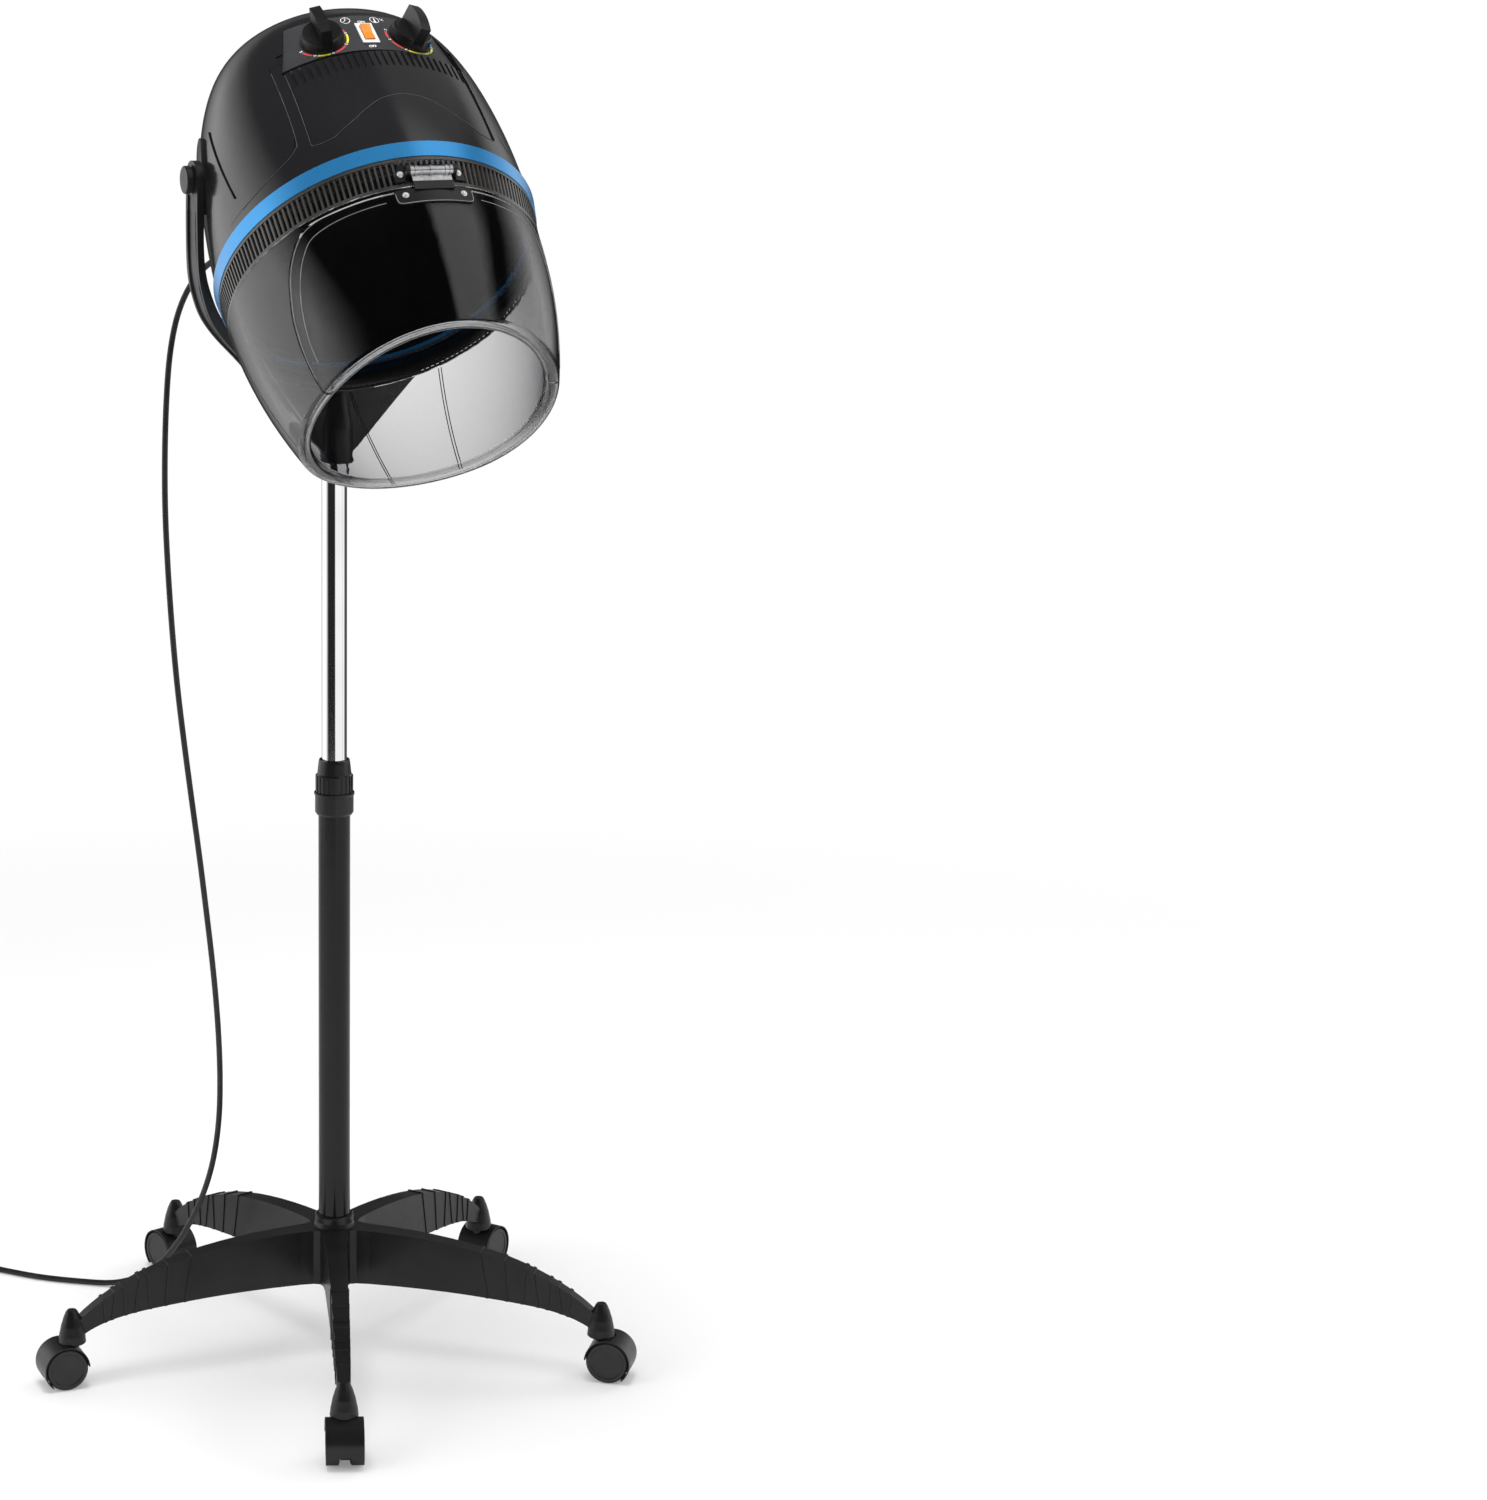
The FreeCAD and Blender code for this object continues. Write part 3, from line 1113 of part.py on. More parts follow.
def cord_coil():
    """The length not in use, wound in two layers, with its lead to the plug."""
    turns = coil_path()
    end = turns[-1].Vertexes[-1].Point
    along = turns[-1].tangentAt(turns[-1].LastParameter)
    entry, radial, tangent = coil_entry()
    lead, radii = rounded_path([end, end + tangent * 28, end + tangent * 52 + Z * (PLUG_HEIGHT - end.z), plug_entry()])
    edges = turns + lead
    body = pipe(edges, entry, tangent)
    print("coil turns", len(turns) / 2, "length", round(length_of(edges), 1), "least gap", round(least_gap(edges, 1.0), 2),
          "lead radii", [round(r) for r in radii], "tangent check", round(along.dot(tangent), 3),
          "volume over section times length", round(body.Volume / (math.pi * CORD_R ** 2 * length_of(edges)), 4))
    return body


def plug_entry():
    """Where the lead meets the plug: level, straight on from the coil."""
    entry, radial, tangent = coil_entry()
    end = coil_path()[-1].Vertexes[-1].Point + tangent * PLUG_AWAY
    return Vec(end.x, end.y, PLUG_HEIGHT)


def plug_place(shape):
    """Stands a shape drawn along +X, cord entry at the origin, at the lead's end."""
    entry, radial, tangent = coil_entry()
    at = plug_entry()
    return shift(turned(shape, math.degrees(math.atan2(tangent.y, tangent.x))), at.x, at.y, at.z)


def plug_body():
    """Moulded two-pin plug: ribbed sleeve, waist and round face."""
    body = lathe([
        (0, 0), (3.8, 0), (5.4, 13), (6.4, 14), (12.5, 21), (16.4, 26), (17.6, 31), (17.6, 38), (16.8, 39), (0, 39),
    ])
    body = turned(body, 90, Y)
    return body.common(Part.makeBox(60, 60, 2 * PLUG_HEIGHT, Vec(-5, -30, -PLUG_HEIGHT)))


def plug_pins():
    return group([Part.makeCylinder(PIN_R, PIN_LENGTH, Vec(39, y, 0), X) for y in (-PIN_APART / 2, PIN_APART / 2)])


def stand_nodes():
    nodes = {
        "star_base": star_base(),
        "column_tube": column_tube(),
        "base_bolt": base_bolt(),
        "lock_sleeve": lock_sleeve(),
        "lock_nut": lock_nut(),
        "mast_tube": mast_tube(),
        "mast_bush": mast_bush(),
        "caster_stems": group([out_on_leg(caster_stem(), i) for i in range(LEG_COUNT)]),
    }
    housing = caster_housing()
    wheels = {"left": caster_wheel(1), "right": caster_wheel(-1)}
    for i in range(LEG_COUNT):
        nodes["caster_%d_housing" % (i + 1)] = out_on_leg(housing, i)
        for side, wheel in wheels.items():
            nodes["caster_%d_wheel_%s" % (i + 1, side)] = out_on_leg(wheel, i)
    return nodes


def yoke_nodes():
    right = pivot_knob()
    return {
        "yoke": yoke(),
        "socket_screw": socket_screw(),
        "pivot_knob_right": right,
        "pivot_knob_left": mirrored(right),
    }


def hood_nodes():
    outer, front, rear = hood_shells()
    front = front.cut(rib_grooves()).cut(group(comb_gaps()))
    rear = rear.cut(group(comb_gaps()))
    holes = panel_holes()
    rear = rear.cut(group(holes))
    along = (CORD_ROUTE[1] - CORD_ROUTE[0]).normalize()
    exit_hole = Part.makeCylinder(7.2, 60, CORD_ROUTE[0] - along * 50, along)
    rear = rear.cut(exit_hole.transformed(HOOD_PLACE.inverse(), True))
    plate = pivot_plate(outer)
    stud, collar = pivot_stud()
    rear = rear.cut(group([stud, mirrored(stud)]))
    plate = plate.cut(stud.fuse(collar))
    shell = visor_shell()
    fixed = shell.cut(flap_outline(FLAP_GAP))
    flap = shell.common(flap_outline(0))
    ring_face = ring_half_width(BRACKET_SCREW_Z) * OVAL + PAD_THICK
    flap_face = barrel_half_width(FLAP_SCREW_Z) * OVAL + PAD_THICK + VISOR_LEAN * (VENT_BOTTOM - FLAP_SCREW_Z)
    bracket_screws = group([round_screw(x, BRACKET_SCREW_Z, ring_face) for x in (-SCREW_AT, SCREW_AT)])
    flap_screws = group([round_screw(x, FLAP_SCREW_Z, flap_face) for x in (-SCREW_AT, SCREW_AT)])
    knob_base = 0.5
    nodes = {
        "dome_shell": rear,
        "front_cover": front,
        "control_panel": control_panel().cut(group(holes)),
        "pivot_plates": group([plate, mirrored(plate)]),
        "pivot_studs": group([stud.fuse(collar), mirrored(stud.fuse(collar))]),
        "trim_ring": trim_ring(),
        "vent_ring": vent_ring().cut(bracket_screws),
        "visor": fixed,
        "visor_flap": flap.cut(flap_screws),
        "hinge_bracket": hinge_bracket().cut(bracket_screws),
        "bracket_screws": bracket_screws,
        "hinge_barrel": hinge_barrel(),
        "flap_bracket": flap_bracket().cut(flap_screws),
        "flap_screws": flap_screws,
        "inner_bowl": inner_bowl(),
        "motor_bracket": motor_bracket(),
        "fan_motor": fan_motor(),
        "fan_impeller": fan_impeller(),
        "heater_frame": heater_frame(),
        "heater_coil": heater_coil(),
        "thermal_cutout": thermal_cutout(),
        "timer_knob": on_panel(knob(), -KNOB_AT, 0, knob_base),
        "thermostat_knob": on_panel(knob(), KNOB_AT, 0, knob_base),
        "timer_body": on_panel(timer_body(), -KNOB_AT, 0, 0),
        "thermostat_body": on_panel(thermostat_body(), KNOB_AT, 0, 0),
        "switch_body": on_panel(switch_body(), 0, 0, 0),
        "switch_rocker": on_panel(switch_rocker(7.0), 0, 0, 0),
    }
    return {name: hood(shape) for name, shape in nodes.items()}


def cord_nodes():
    return {
        "cord_gland": cord_gland(),
        "cord": cord(),
        "cord_coil": cord_coil(),
        "plug_body": plug_place(plug_body()),
        "plug_pins": plug_place(plug_pins()),
    }


os.makedirs("parts", exist_ok=True)
for build in (stand_nodes, yoke_nodes, hood_nodes, cord_nodes):
    for node, solid in build().items():
        export(node, solid)
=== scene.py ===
"""Looks of a salon hood hair dryer on a rolling stand.

Everything is in metres in the row frame: +Z up, the hood faces -Y, the column's axis is x = y = 0.
Places on the hood are given in millimetres of the hood's own frame, before it is tilted.
"""

import json
import math

import bmesh
import bpy
from mathutils import Matrix, Vector


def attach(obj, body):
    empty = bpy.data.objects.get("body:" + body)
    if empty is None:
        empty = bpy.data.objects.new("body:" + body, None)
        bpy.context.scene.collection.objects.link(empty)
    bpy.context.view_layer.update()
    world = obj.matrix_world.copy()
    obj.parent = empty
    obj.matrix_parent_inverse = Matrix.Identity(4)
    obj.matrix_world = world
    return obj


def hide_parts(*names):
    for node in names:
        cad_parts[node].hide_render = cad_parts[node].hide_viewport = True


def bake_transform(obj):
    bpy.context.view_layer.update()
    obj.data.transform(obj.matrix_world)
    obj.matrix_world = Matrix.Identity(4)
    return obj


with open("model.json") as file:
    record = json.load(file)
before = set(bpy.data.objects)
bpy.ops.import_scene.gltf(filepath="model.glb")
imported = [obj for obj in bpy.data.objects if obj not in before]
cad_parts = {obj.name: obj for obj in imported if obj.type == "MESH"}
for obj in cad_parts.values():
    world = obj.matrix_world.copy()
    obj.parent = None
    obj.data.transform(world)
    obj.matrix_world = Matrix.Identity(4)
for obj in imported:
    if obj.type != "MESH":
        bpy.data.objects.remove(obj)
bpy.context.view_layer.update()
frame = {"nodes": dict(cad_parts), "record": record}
NODES = frame["nodes"]
MM = 0.001

# Hood placement, as in the part's source
HOOD_TILT = math.radians(41.79)
RING_CENTRE = Vector((0, -0.124, 1.1262))
HOOD = Matrix.Translation(RING_CENTRE) @ Matrix.Rotation(-HOOD_TILT, 4, "X")

# Facia: a point on it, its lean and its curve, then its dials and signs
PANEL_POINT = Vector((0, -118.6, 180.2)) * MM
PANEL_LEAN = math.radians(15.94)
PANEL_RADIUS = 164.0 * MM
PRINT_FOOT = 0.03
PRINT_DEPTH = 0.08
KNOB_AT = 43.0
DIAL_R = 23.3
DIAL_BAND = 2.0
NUMBER_SIZE = 2.9
WORD_SIZE = 4.6
UNIT_SIZE = 4.0
WEDGE_GROWTH = 0.11
SIGN_R = 4.4
SIGN_LINE = 0.5
CLOCK = Vector((-14.6, 23.0))
THERMOMETER = Vector((14.2, 23.0))

# Each dial's bands as colour, start and end, and its numbers, in degrees clockwise from straight up
MINUTE_BANDS = [("red", 46, 75), ("yellow", 86, 119), ("red", 131, 164), ("yellow", 176, 206), ("red", 218, 244)]
MINUTES = [("10", 40), ("20", 80), ("30", 125), ("40", 170), ("50", 212), ("60", 250)]
DEGREE_BANDS = [("blue", 62, 96), ("yellow", 108, 128), ("yellow", 140, 157), ("yellow", 169, 199),
                ("red", 211, 246), ("red", 258, 285)]
DEGREES = [("45", 102), ("50", 134), ("55", 163), ("60", 205), ("65", 252), ("75", 291)]
PRINT_SLOTS = {"white": "bezel_grey", "red": "amber", "yellow": "amber", "blue": "blue_band"}

# The dome, the vent ring and the visor's barrel under it, as in the part's source
OVAL = 1.109
DOME_FOOT = 15.0
DOME_RISE = 236.4
DOME_HALF = 150.8
DOME_POWER = 0.413
DOME_OVAL_LOSS = 0.223
VENT_BOTTOM = -30.0
VENT_FLARE = 2.4
BARREL_HALF = 148.9
BARREL_LENGTH = 170.0
BARREL_TAPER = 6.2
BARREL_CURVE = 27.2
VISOR_LEAN = 0.139

# The plate on the flap: half-width, lower edge, and how far it stands proud
BRACKET_HALF = 36.5
BRACKET_LOW = -50.0
BRACKET_PROUD = 1.8

# Strip behind the vent ring's slats: steps round it, its top, its lower edge in front and how much
# lower that is at the rear, its two faces' insets, and the half-width of its gap behind the hinge
GUARD_STEPS = 220
GUARD_TOP = -3.7
GUARD_FRONT_LOW = -14.5
GUARD_REAR_DROP = 12.0
GUARD_INSETS = (2.8, 2.95)
GUARD_GAP = 27.0

# Fine lines, painted highlights and painted shadows among them
BEAD_SIDES = 8
BEAD_PROUD = 0.05
CURVE_STEPS = 6
PLATE_SHADOW_STEPS = 24
SEAM_STEPS = 20
SEAM_APART = 1.1

# Cord: the route's points from the part's source, then its coil and its lead
CORD_DIAMETER = 0.006
CORD_SIDES = 14
CORD_ROUTE = [
    (-0.075, 0.0605, 1.1305), (-0.0935, 0.086, 1.117), (-0.109, 0.107, 1.096), (-0.122, 0.119, 1.064),
    (-0.1315, 0.118, 1.024), (-0.139, 0.107, 0.978), (-0.1445, 0.096, 0.925), (-0.1475, 0.087, 0.868),
    (-0.1475, 0.079, 0.810), (-0.1462, 0.071, 0.751), (-0.143, 0.065, 0.692), (-0.137, 0.062, 0.633),
    (-0.130, 0.0605, 0.574), (-0.1224, 0.060, 0.515), (-0.115, 0.062, 0.456), (-0.107, 0.067, 0.397),
    (-0.100, 0.0745, 0.338), (-0.0945, 0.085, 0.279), (-0.0915, 0.099, 0.222), (-0.0935, 0.117, 0.168),
    (-0.100, 0.139, 0.122), (-0.110, 0.164, 0.080), (-0.123, 0.190, 0.044), (-0.141, 0.214, 0.018),
    (-0.166, 0.235, 0.0036), (-0.200, 0.256, 0.003), (-0.238, 0.282, 0.003),
]
COIL_CENTRE = Vector((-0.3375, 0.3316, 0))
COIL_START = math.radians(42.1)
COIL_RADIAL = Vector((math.cos(COIL_START), math.sin(COIL_START), 0))
COIL_TANGENT = Vector((-math.sin(COIL_START), math.cos(COIL_START), 0))
COIL_RUN_IN = 0.054
COIL_OUTER = 0.0394
COIL_PITCH = 0.0066
COIL_IN = 4
COIL_OUT = 5
COIL_POINTS = 8
PLUG_HEIGHT = 0.013
PLUG_AWAY = 0.078
PLUG_LEAD = (0.028, 0.052)

# Directions that the studio's reflections are laid out by, and its lamps
CAMERA_WAY = (-0.33, -0.944, 0.0)
REAR_RIGHT_WAY = (0.883, 0.469, 0)
FRONT_RIGHT_WAY = (0.42, -0.906, 0)
LAMPS = [
    # name, place, target, diameter, watts
    ("overhead", (-0.2, -0.3, 3.2), (0, 0, 0.2), 1.5, 55),
    ("left_box", (-2.6, -0.6, 1.7), (0, 0, 0.9), 1.6, 18),
    ("right_box", (2.4, 0.4, 1.9), (0, 0, 1.0), 1.2, 14),
]

# Floor: its radius, how far it lies under the casters, and where it fades into the background
FLOOR_RADIUS = 2.4
FLOOR_DROP = 0.0005
FLOOR_FADE = (1.2, 2.2)


# ---------------------------------------------------------------- camera

def add_camera():
    """Camera at the photograph's viewing angle."""
    data = bpy.data.cameras.new("camera")
    data.sensor_width = 36
    data.lens = 91.29
    data.shift_x = 0.2728
    data.shift_y = -0.040
    data.clip_start = 0.1
    data.clip_end = 50
    camera = bpy.data.objects.new("camera", data)
    camera.location = (-1.2158, -3.4814, 1.5029)
    camera.rotation_euler = (math.radians(90 - 12.382), 0, math.radians(-19.25))
    bpy.context.collection.objects.link(camera)
    bpy.context.scene.camera = camera


# ---------------------------------------------------------------- mesh helpers

def piece(name, bm, body, material, smooth=True):
    """Turns a bmesh into a named piece that rides on a body."""
    mesh = bpy.data.meshes.new(name)
    bmesh.ops.recalc_face_normals(bm, faces=bm.faces)
    bm.to_mesh(mesh)
    bm.free()
    mesh.materials.append(material)
    if smooth:
        mesh.shade_smooth()
    made = bpy.data.objects.new(name, mesh)
    bpy.context.collection.objects.link(made)
    if body:
        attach(made, body)
    return made


def sweep(bm, points, radius, sides):
    """Round tube along points, its frames carried from one point to the next."""
    tangents = []
    for i in range(len(points)):
        before = points[max(i - 1, 0)]
        after = points[min(i + 1, len(points) - 1)]
        tangents.append((after - before).normalized())
    side = tangents[0].orthogonal().normalized()
    rings = []
    for point, along in zip(points, tangents):
        side = (side - along * side.dot(along)).normalized()
        up = along.cross(side)
        ring = []
        for k in range(sides):
            turn = 2 * math.pi * k / sides
            ring.append(bm.verts.new(point + (side * math.cos(turn) + up * math.sin(turn)) * radius))
        rings.append(ring)
    for a, b in zip(rings, rings[1:]):
        for k in range(sides):
            bm.faces.new((a[k], a[(k + 1) % sides], b[(k + 1) % sides], b[k]))
    bm.faces.new(rings[0])
    bm.faces.new(rings[-1])


def rounded(points, passes=3):
    """Cuts the corners of an open run of points a few times over."""
    points = [Vector(p) for p in points]
    for _ in range(passes):
        cut = [points[0]]
        for a, b in zip(points, points[1:]):
            cut += [a * 0.75 + b * 0.25, a * 0.25 + b * 0.75]
        points = cut + [points[-1]]
    return points


def through(points):
    """Smooth run that passes through every one of a few points."""
    points = [Vector(p) for p in points]
    ends = [points[0] * 2 - points[1]] + points + [points[-1] * 2 - points[-2]]
    run = []
    for a, b, c, d in zip(ends, ends[1:], ends[2:], ends[3:]):
        for k in range(CURVE_STEPS):
            t = k / CURVE_STEPS
            run.append((b * 2 + (c - a) * t + (a * 2 - b * 5 + c * 4 - d) * t * t
                        + (b * 3 - a - c * 3 + d) * t * t * t) / 2)
    return run + [points[-1]]


# ---------------------------------------------------------------- cord

def coil_points():
    """Half turns that spiral in on the floor, climb, and spiral out on top, then the plug's lead."""
    step = COIL_PITCH / 2
    reach = COIL_OUTER
    level = CORD_DIAMETER / 2
    side = 1
    points = []
    for i in range(COIL_IN + 1 + COIL_OUT):
        climb = COIL_PITCH if i == COIL_IN else 0
        following = reach - step if i <= COIL_IN else reach + step
        if i == COIL_IN + 1:
            following += step
        a = COIL_CENTRE + COIL_RADIAL * side * reach
        b = COIL_CENTRE - COIL_RADIAL * side * following
        middle = (a + b) / 2
        half = (reach + following) / 2
        for k in range(COIL_POINTS):
            turn = math.pi * k / COIL_POINTS
            at = (middle + COIL_RADIAL * side * half * math.cos(turn)
                  + COIL_TANGENT * side * half * math.sin(turn))
            at.z = level + climb * (1 - math.cos(turn)) / 2
            points.append(at)
        reach = following
        level += climb
        side = -side
    end = COIL_CENTRE + COIL_RADIAL * side * reach
    end.z = level
    lift = Vector((0, 0, PLUG_HEIGHT - level))
    flat, raised = PLUG_LEAD
    points += [end, end + COIL_TANGENT * flat, end + COIL_TANGENT * raised + lift,
               end + COIL_TANGENT * PLUG_AWAY + lift]
    return points


def cord_curve():
    """The whole cord as one smooth spline with no bevel, read back as points."""
    entry = COIL_CENTRE + COIL_RADIAL * COIL_OUTER + Vector((0, 0, CORD_DIAMETER / 2))
    control = [Vector(p) for p in CORD_ROUTE] + [entry - COIL_TANGENT * COIL_RUN_IN] + coil_points()
    data = bpy.data.curves.new("cord_line", "CURVE")
    data.dimensions = "3D"
    data.resolution_u = 6
    spline = data.splines.new("NURBS")
    spline.points.add(len(control) - 1)
    for point, at in zip(spline.points, control):
        point.co = (at.x, at.y, at.z, 1)
    spline.order_u = 3
    spline.use_endpoint_u = True
    mesh = mesh_of(data)
    points = [v.co.copy() for v in mesh.vertices]
    bpy.data.meshes.remove(mesh)
    return points


def mesh_of(data):
    """Mesh of a curve or text, whose own object is removed again."""
    holder = bpy.data.objects.new("holder", data)
    bpy.context.collection.objects.link(holder)
    bpy.context.view_layer.update()
    mesh = bpy.data.meshes.new_from_object(holder)
    bpy.data.objects.remove(holder)
    return mesh


def add_cord(material):
    """The lead as a tube along its spline, blended from the stand to the mast."""
    points = cord_curve()
    bm = bmesh.new()
    sweep(bm, points, CORD_DIAMETER / 2, CORD_SIDES)
    made = piece("power_cord", bm, None, material)
    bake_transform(made)
    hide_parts("cord", "cord_coil")


# ---------------------------------------------------------------- places on the hood

def panel_at(u, p, out):
    """World point at lateral u along the curved facia, p up its slope, out above it."""
    bend = math.asin(u * MM / PANEL_RADIUS)
    normal = Vector((0, -math.cos(PANEL_LEAN), math.sin(PANEL_LEAN)))
    slope = Vector((0, math.sin(PANEL_LEAN), math.cos(PANEL_LEAN)))
    direction = Vector((math.sin(bend), 0, 0)) + normal * math.cos(bend)
    at = PANEL_POINT - normal * PANEL_RADIUS + direction * (PANEL_RADIUS + out * MM) + slope * p * MM
    return HOOD @ at


def barrel_half_width(z):
    """Half-width of the visor's barrel at a height under the vent ring."""
    t = (VENT_BOTTOM - z) / BARREL_LENGTH
    return BARREL_HALF - BARREL_TAPER * t - BARREL_CURVE * t * t


def barrel_side(y, z, side):
    """World point just off the visor's wall at depth y and height z, on the side of x that side says."""
    a = barrel_half_width(z)
    part = (y + VISOR_LEAN * (VENT_BOTTOM - z)) / (a * OVAL)
    x = side * (a + BEAD_PROUD) * math.sqrt(max(0.0, 1 - part * part))
    return HOOD @ (Vector((x, y * (1 + BEAD_PROUD / a), z)) * MM)


def barrel_front(x, z, out, rear=False):
    """World point on the visor's front or rear wall at x and z."""
    a = barrel_half_width(z) + out
    reach = (barrel_half_width(z) * OVAL + out) * math.sqrt(1 - (x / a) ** 2)
    return HOOD @ (Vector((x, (reach if rear else -reach) - VISOR_LEAN * (VENT_BOTTOM - z), z)) * MM)


def dome_reach(z, out):
    """Half-width and half-depth of the dome at a height."""
    part = max(0.0, z - DOME_FOOT) / DOME_RISE
    half = DOME_HALF * math.cos(math.asin(part)) ** DOME_POWER
    return half + out, half * (OVAL - DOME_OVAL_LOSS * part) + out


def dome_front(x, z):
    """World point on the dome's front at x and z."""
    half, deep = dome_reach(z, 0.0)
    return HOOD @ (Vector((x, -deep * math.sqrt(1 - (x / half) ** 2), z)) * MM)


def dome_side(side, y, z, out):
    """World point on the dome at depth y and height z, on the side of x that side says."""
    half, deep = dome_reach(z, out)
    return HOOD @ (Vector((side * half * math.sqrt(1 - (y / deep) ** 2), y, z)) * MM)


# ---------------------------------------------------------------- prints on the facia

def flat_band(bm, points, width, closed=False):
    """Band of a width drawn along flat points."""
    count = len(points)
    edges = []
    for i, point in enumerate(points):
        before = points[i - 1] if i or closed else point
        after = points[(i + 1) % count] if i < count - 1 or closed else point
        along = (after - before).normalized()
        across = Vector((-along.y, along.x)) * width / 2
        edges.append([bm.verts.new((*(point + across * side), 0)) for side in (-1, 1)])
    pairs = list(zip(edges, edges[1:])) + ([(edges[-1], edges[0])] if closed else [])
    for a, b in pairs:
        bm.faces.new((a[0], b[0], b[1], a[1]))


def round_point(centre, radius, angle):
    """Flat point round a centre, at an angle clockwise from straight up."""
    turn = math.radians(angle)
    return centre + Vector((math.sin(turn), math.cos(turn))) * radius


def arc_points(centre, radius, start, end, step=3.0):
    """Flat points along an arc, one every few degrees."""
    count = max(2, round(abs(end - start) / step))
    return [round_point(centre, radius, start + (end - start) * i / count) for i in range(count + 1)]


def flat_ring(bm, centre, radius, width):
    """Closed ring of a width."""
    flat_band(bm, arc_points(centre, radius, 0, 352, 8.0), width, closed=True)


def flat_text(bm, words, size, centre):
    """Lettering as flat faces, centred on a point."""
    data = bpy.data.curves.new("lettering", "FONT")
    data.body = words
    data.size = size
    data.align_x = "CENTER"
    data.align_y = "CENTER"
    data.offset = 0.02 * size
    data.resolution_u = 3
    mesh = mesh_of(data)
    made = [bm.verts.new((v.co.x + centre[0], v.co.y + centre[1], 0)) for v in mesh.vertices]
    for face in mesh.polygons:
        bm.faces.new([made[i] for i in face.vertices])
    bpy.data.meshes.remove(mesh)


def add_dial(drawings, centre, bands, numbers):
    """One dial's coloured arcs and the numbers between them."""
    for colour, start, end in bands:
        flat_band(drawings[colour], arc_points(centre, DIAL_R, start, end), DIAL_BAND)
    for words, angle in numbers:
        flat_text(drawings["white"], words, NUMBER_SIZE, round_point(centre, DIAL_R, angle))


def add_wedge(bm, centre):
    """Band at the timer's start that grows wider clockwise from a point."""
    inner = arc_points(centre, DIAL_R - 1, 8, 35)
    outer = [centre + (p - centre) * (1 + WEDGE_GROWTH * i / (len(inner) - 1)) for i, p in enumerate(inner)]
    low, high = [[bm.verts.new((*p, 0)) for p in row[1:]] for row in (inner, outer)]
    for i in range(len(low) - 1):
        bm.faces.new((low[i], low[i + 1], high[i + 1], high[i]))


def add_signs(bm):
    """The switch's words, the unit, and a small clock and thermometer."""
    flat_text(bm, "ON", WORD_SIZE, (0, 19.4))
    flat_text(bm, "OFF", WORD_SIZE, (0, -19.6))
    flat_text(bm, "°C", UNIT_SIZE, (21.6, 24.4))
    flat_ring(bm, CLOCK, SIGN_R, SIGN_LINE)
    flat_band(bm, [Vector((-14.6, 26.4)), Vector((-14.6, 22.8))], SIGN_LINE)
    flat_band(bm, [CLOCK, Vector((-17.0, 21.6))], SIGN_LINE)
    for turn in range(0, 360, 30):
        flat_band(bm, [round_point(CLOCK, r, turn) for r in (3.7, 4.2)], 0.3)
    flat_ring(bm, THERMOMETER, SIGN_R, SIGN_LINE)
    flat_band(bm, [Vector((14.2, 26.0)), Vector((14.2, 20.6))], 1.1)
    flat_ring(bm, Vector((14.2, 20.4)), 0.65, 1.3)


def add_prints():
    """Everything printed on the facia, one thin piece for each colour, laid on its curve."""
    drawings = {colour: bmesh.new() for colour in PRINT_SLOTS}
    timer = Vector((-KNOB_AT, 0))
    add_dial(drawings, timer, MINUTE_BANDS, MINUTES)
    add_dial(drawings, Vector((KNOB_AT, 0)), DEGREE_BANDS, DEGREES)
    add_wedge(drawings["yellow"], timer)
    add_signs(drawings["white"])
    for colour, bm in drawings.items():
        grown = bmesh.ops.extrude_face_region(bm, geom=bm.faces[:])
        for item in grown["geom"]:
            if isinstance(item, bmesh.types.BMVert):
                item.co.z = PRINT_DEPTH
        for vert in bm.verts:
            vert.co = panel_at(vert.co.x, vert.co.y, vert.co.z + PRINT_FOOT)
        piece("facia_print_" + colour, bm, "hood", PRINTS[colour], smooth=False)


# ---------------------------------------------------------------- fine lines, painted highlights and shadows among them, seams and the guard

def bead(name, runs, body, material, radius):
    """Fine lines along runs of world points, as one piece; some are painted highlights and some painted shadows.
    The radius is in millimetres.
    """
    bm = bmesh.new()
    for run in runs:
        sweep(bm, run, radius * MM, BEAD_SIDES)
    piece(name, bm, body, material)


def add_flap_lines():
    """Painted highlights: pale lines along the flap's edge and a second line inside it, both sides, and along
    its plate's lower edge.
    """
    edge = [(-160.5, -35.9), (-150, -35.9), (-136, -35.9), (-123, -35.9), (-110, -40.4), (-100, -52),
            (-91, -68), (-83.5, -88), (-76, -113), (-70.5, -144), (-68.5, -170)]
    inner = [(-158.4, -44.5), (-148, -44.8), (-137, -45.4), (-126, -47), (-115, -51), (-107, -61),
             (-99.5, -75), (-92.5, -93), (-86, -116), (-81, -140), (-79, -160)]
    runs = []
    for line in (edge, inner):
        flat = through(line)
        for side in (-1, 1):
            runs.append([barrel_side(y, z, side) for y, z in flat])
    # Pale lines along the flap's edges: painted highlights.
    bead("flap_edge_highlights", runs, "flap", TRIM["pale_highlight_line"], 0.3)
    foot = [(-BRACKET_HALF, -38), (-BRACKET_HALF, -45), (-BRACKET_HALF + 1.2, -48.8),
            (-BRACKET_HALF + 5, BRACKET_LOW)]
    foot += [(x, BRACKET_LOW) for x in (-20, 0, 20)] + [(-x, z) for x, z in reversed(foot)]
    run = [barrel_front(x, z, BRACKET_PROUD - 0.1) for x, z in rounded(foot)]
    # Pale line along the plate's lower edge: a painted highlight.
    bead("flap_plate_edge_highlight", [run], "flap", TRIM["pale_highlight_line"], 0.3)


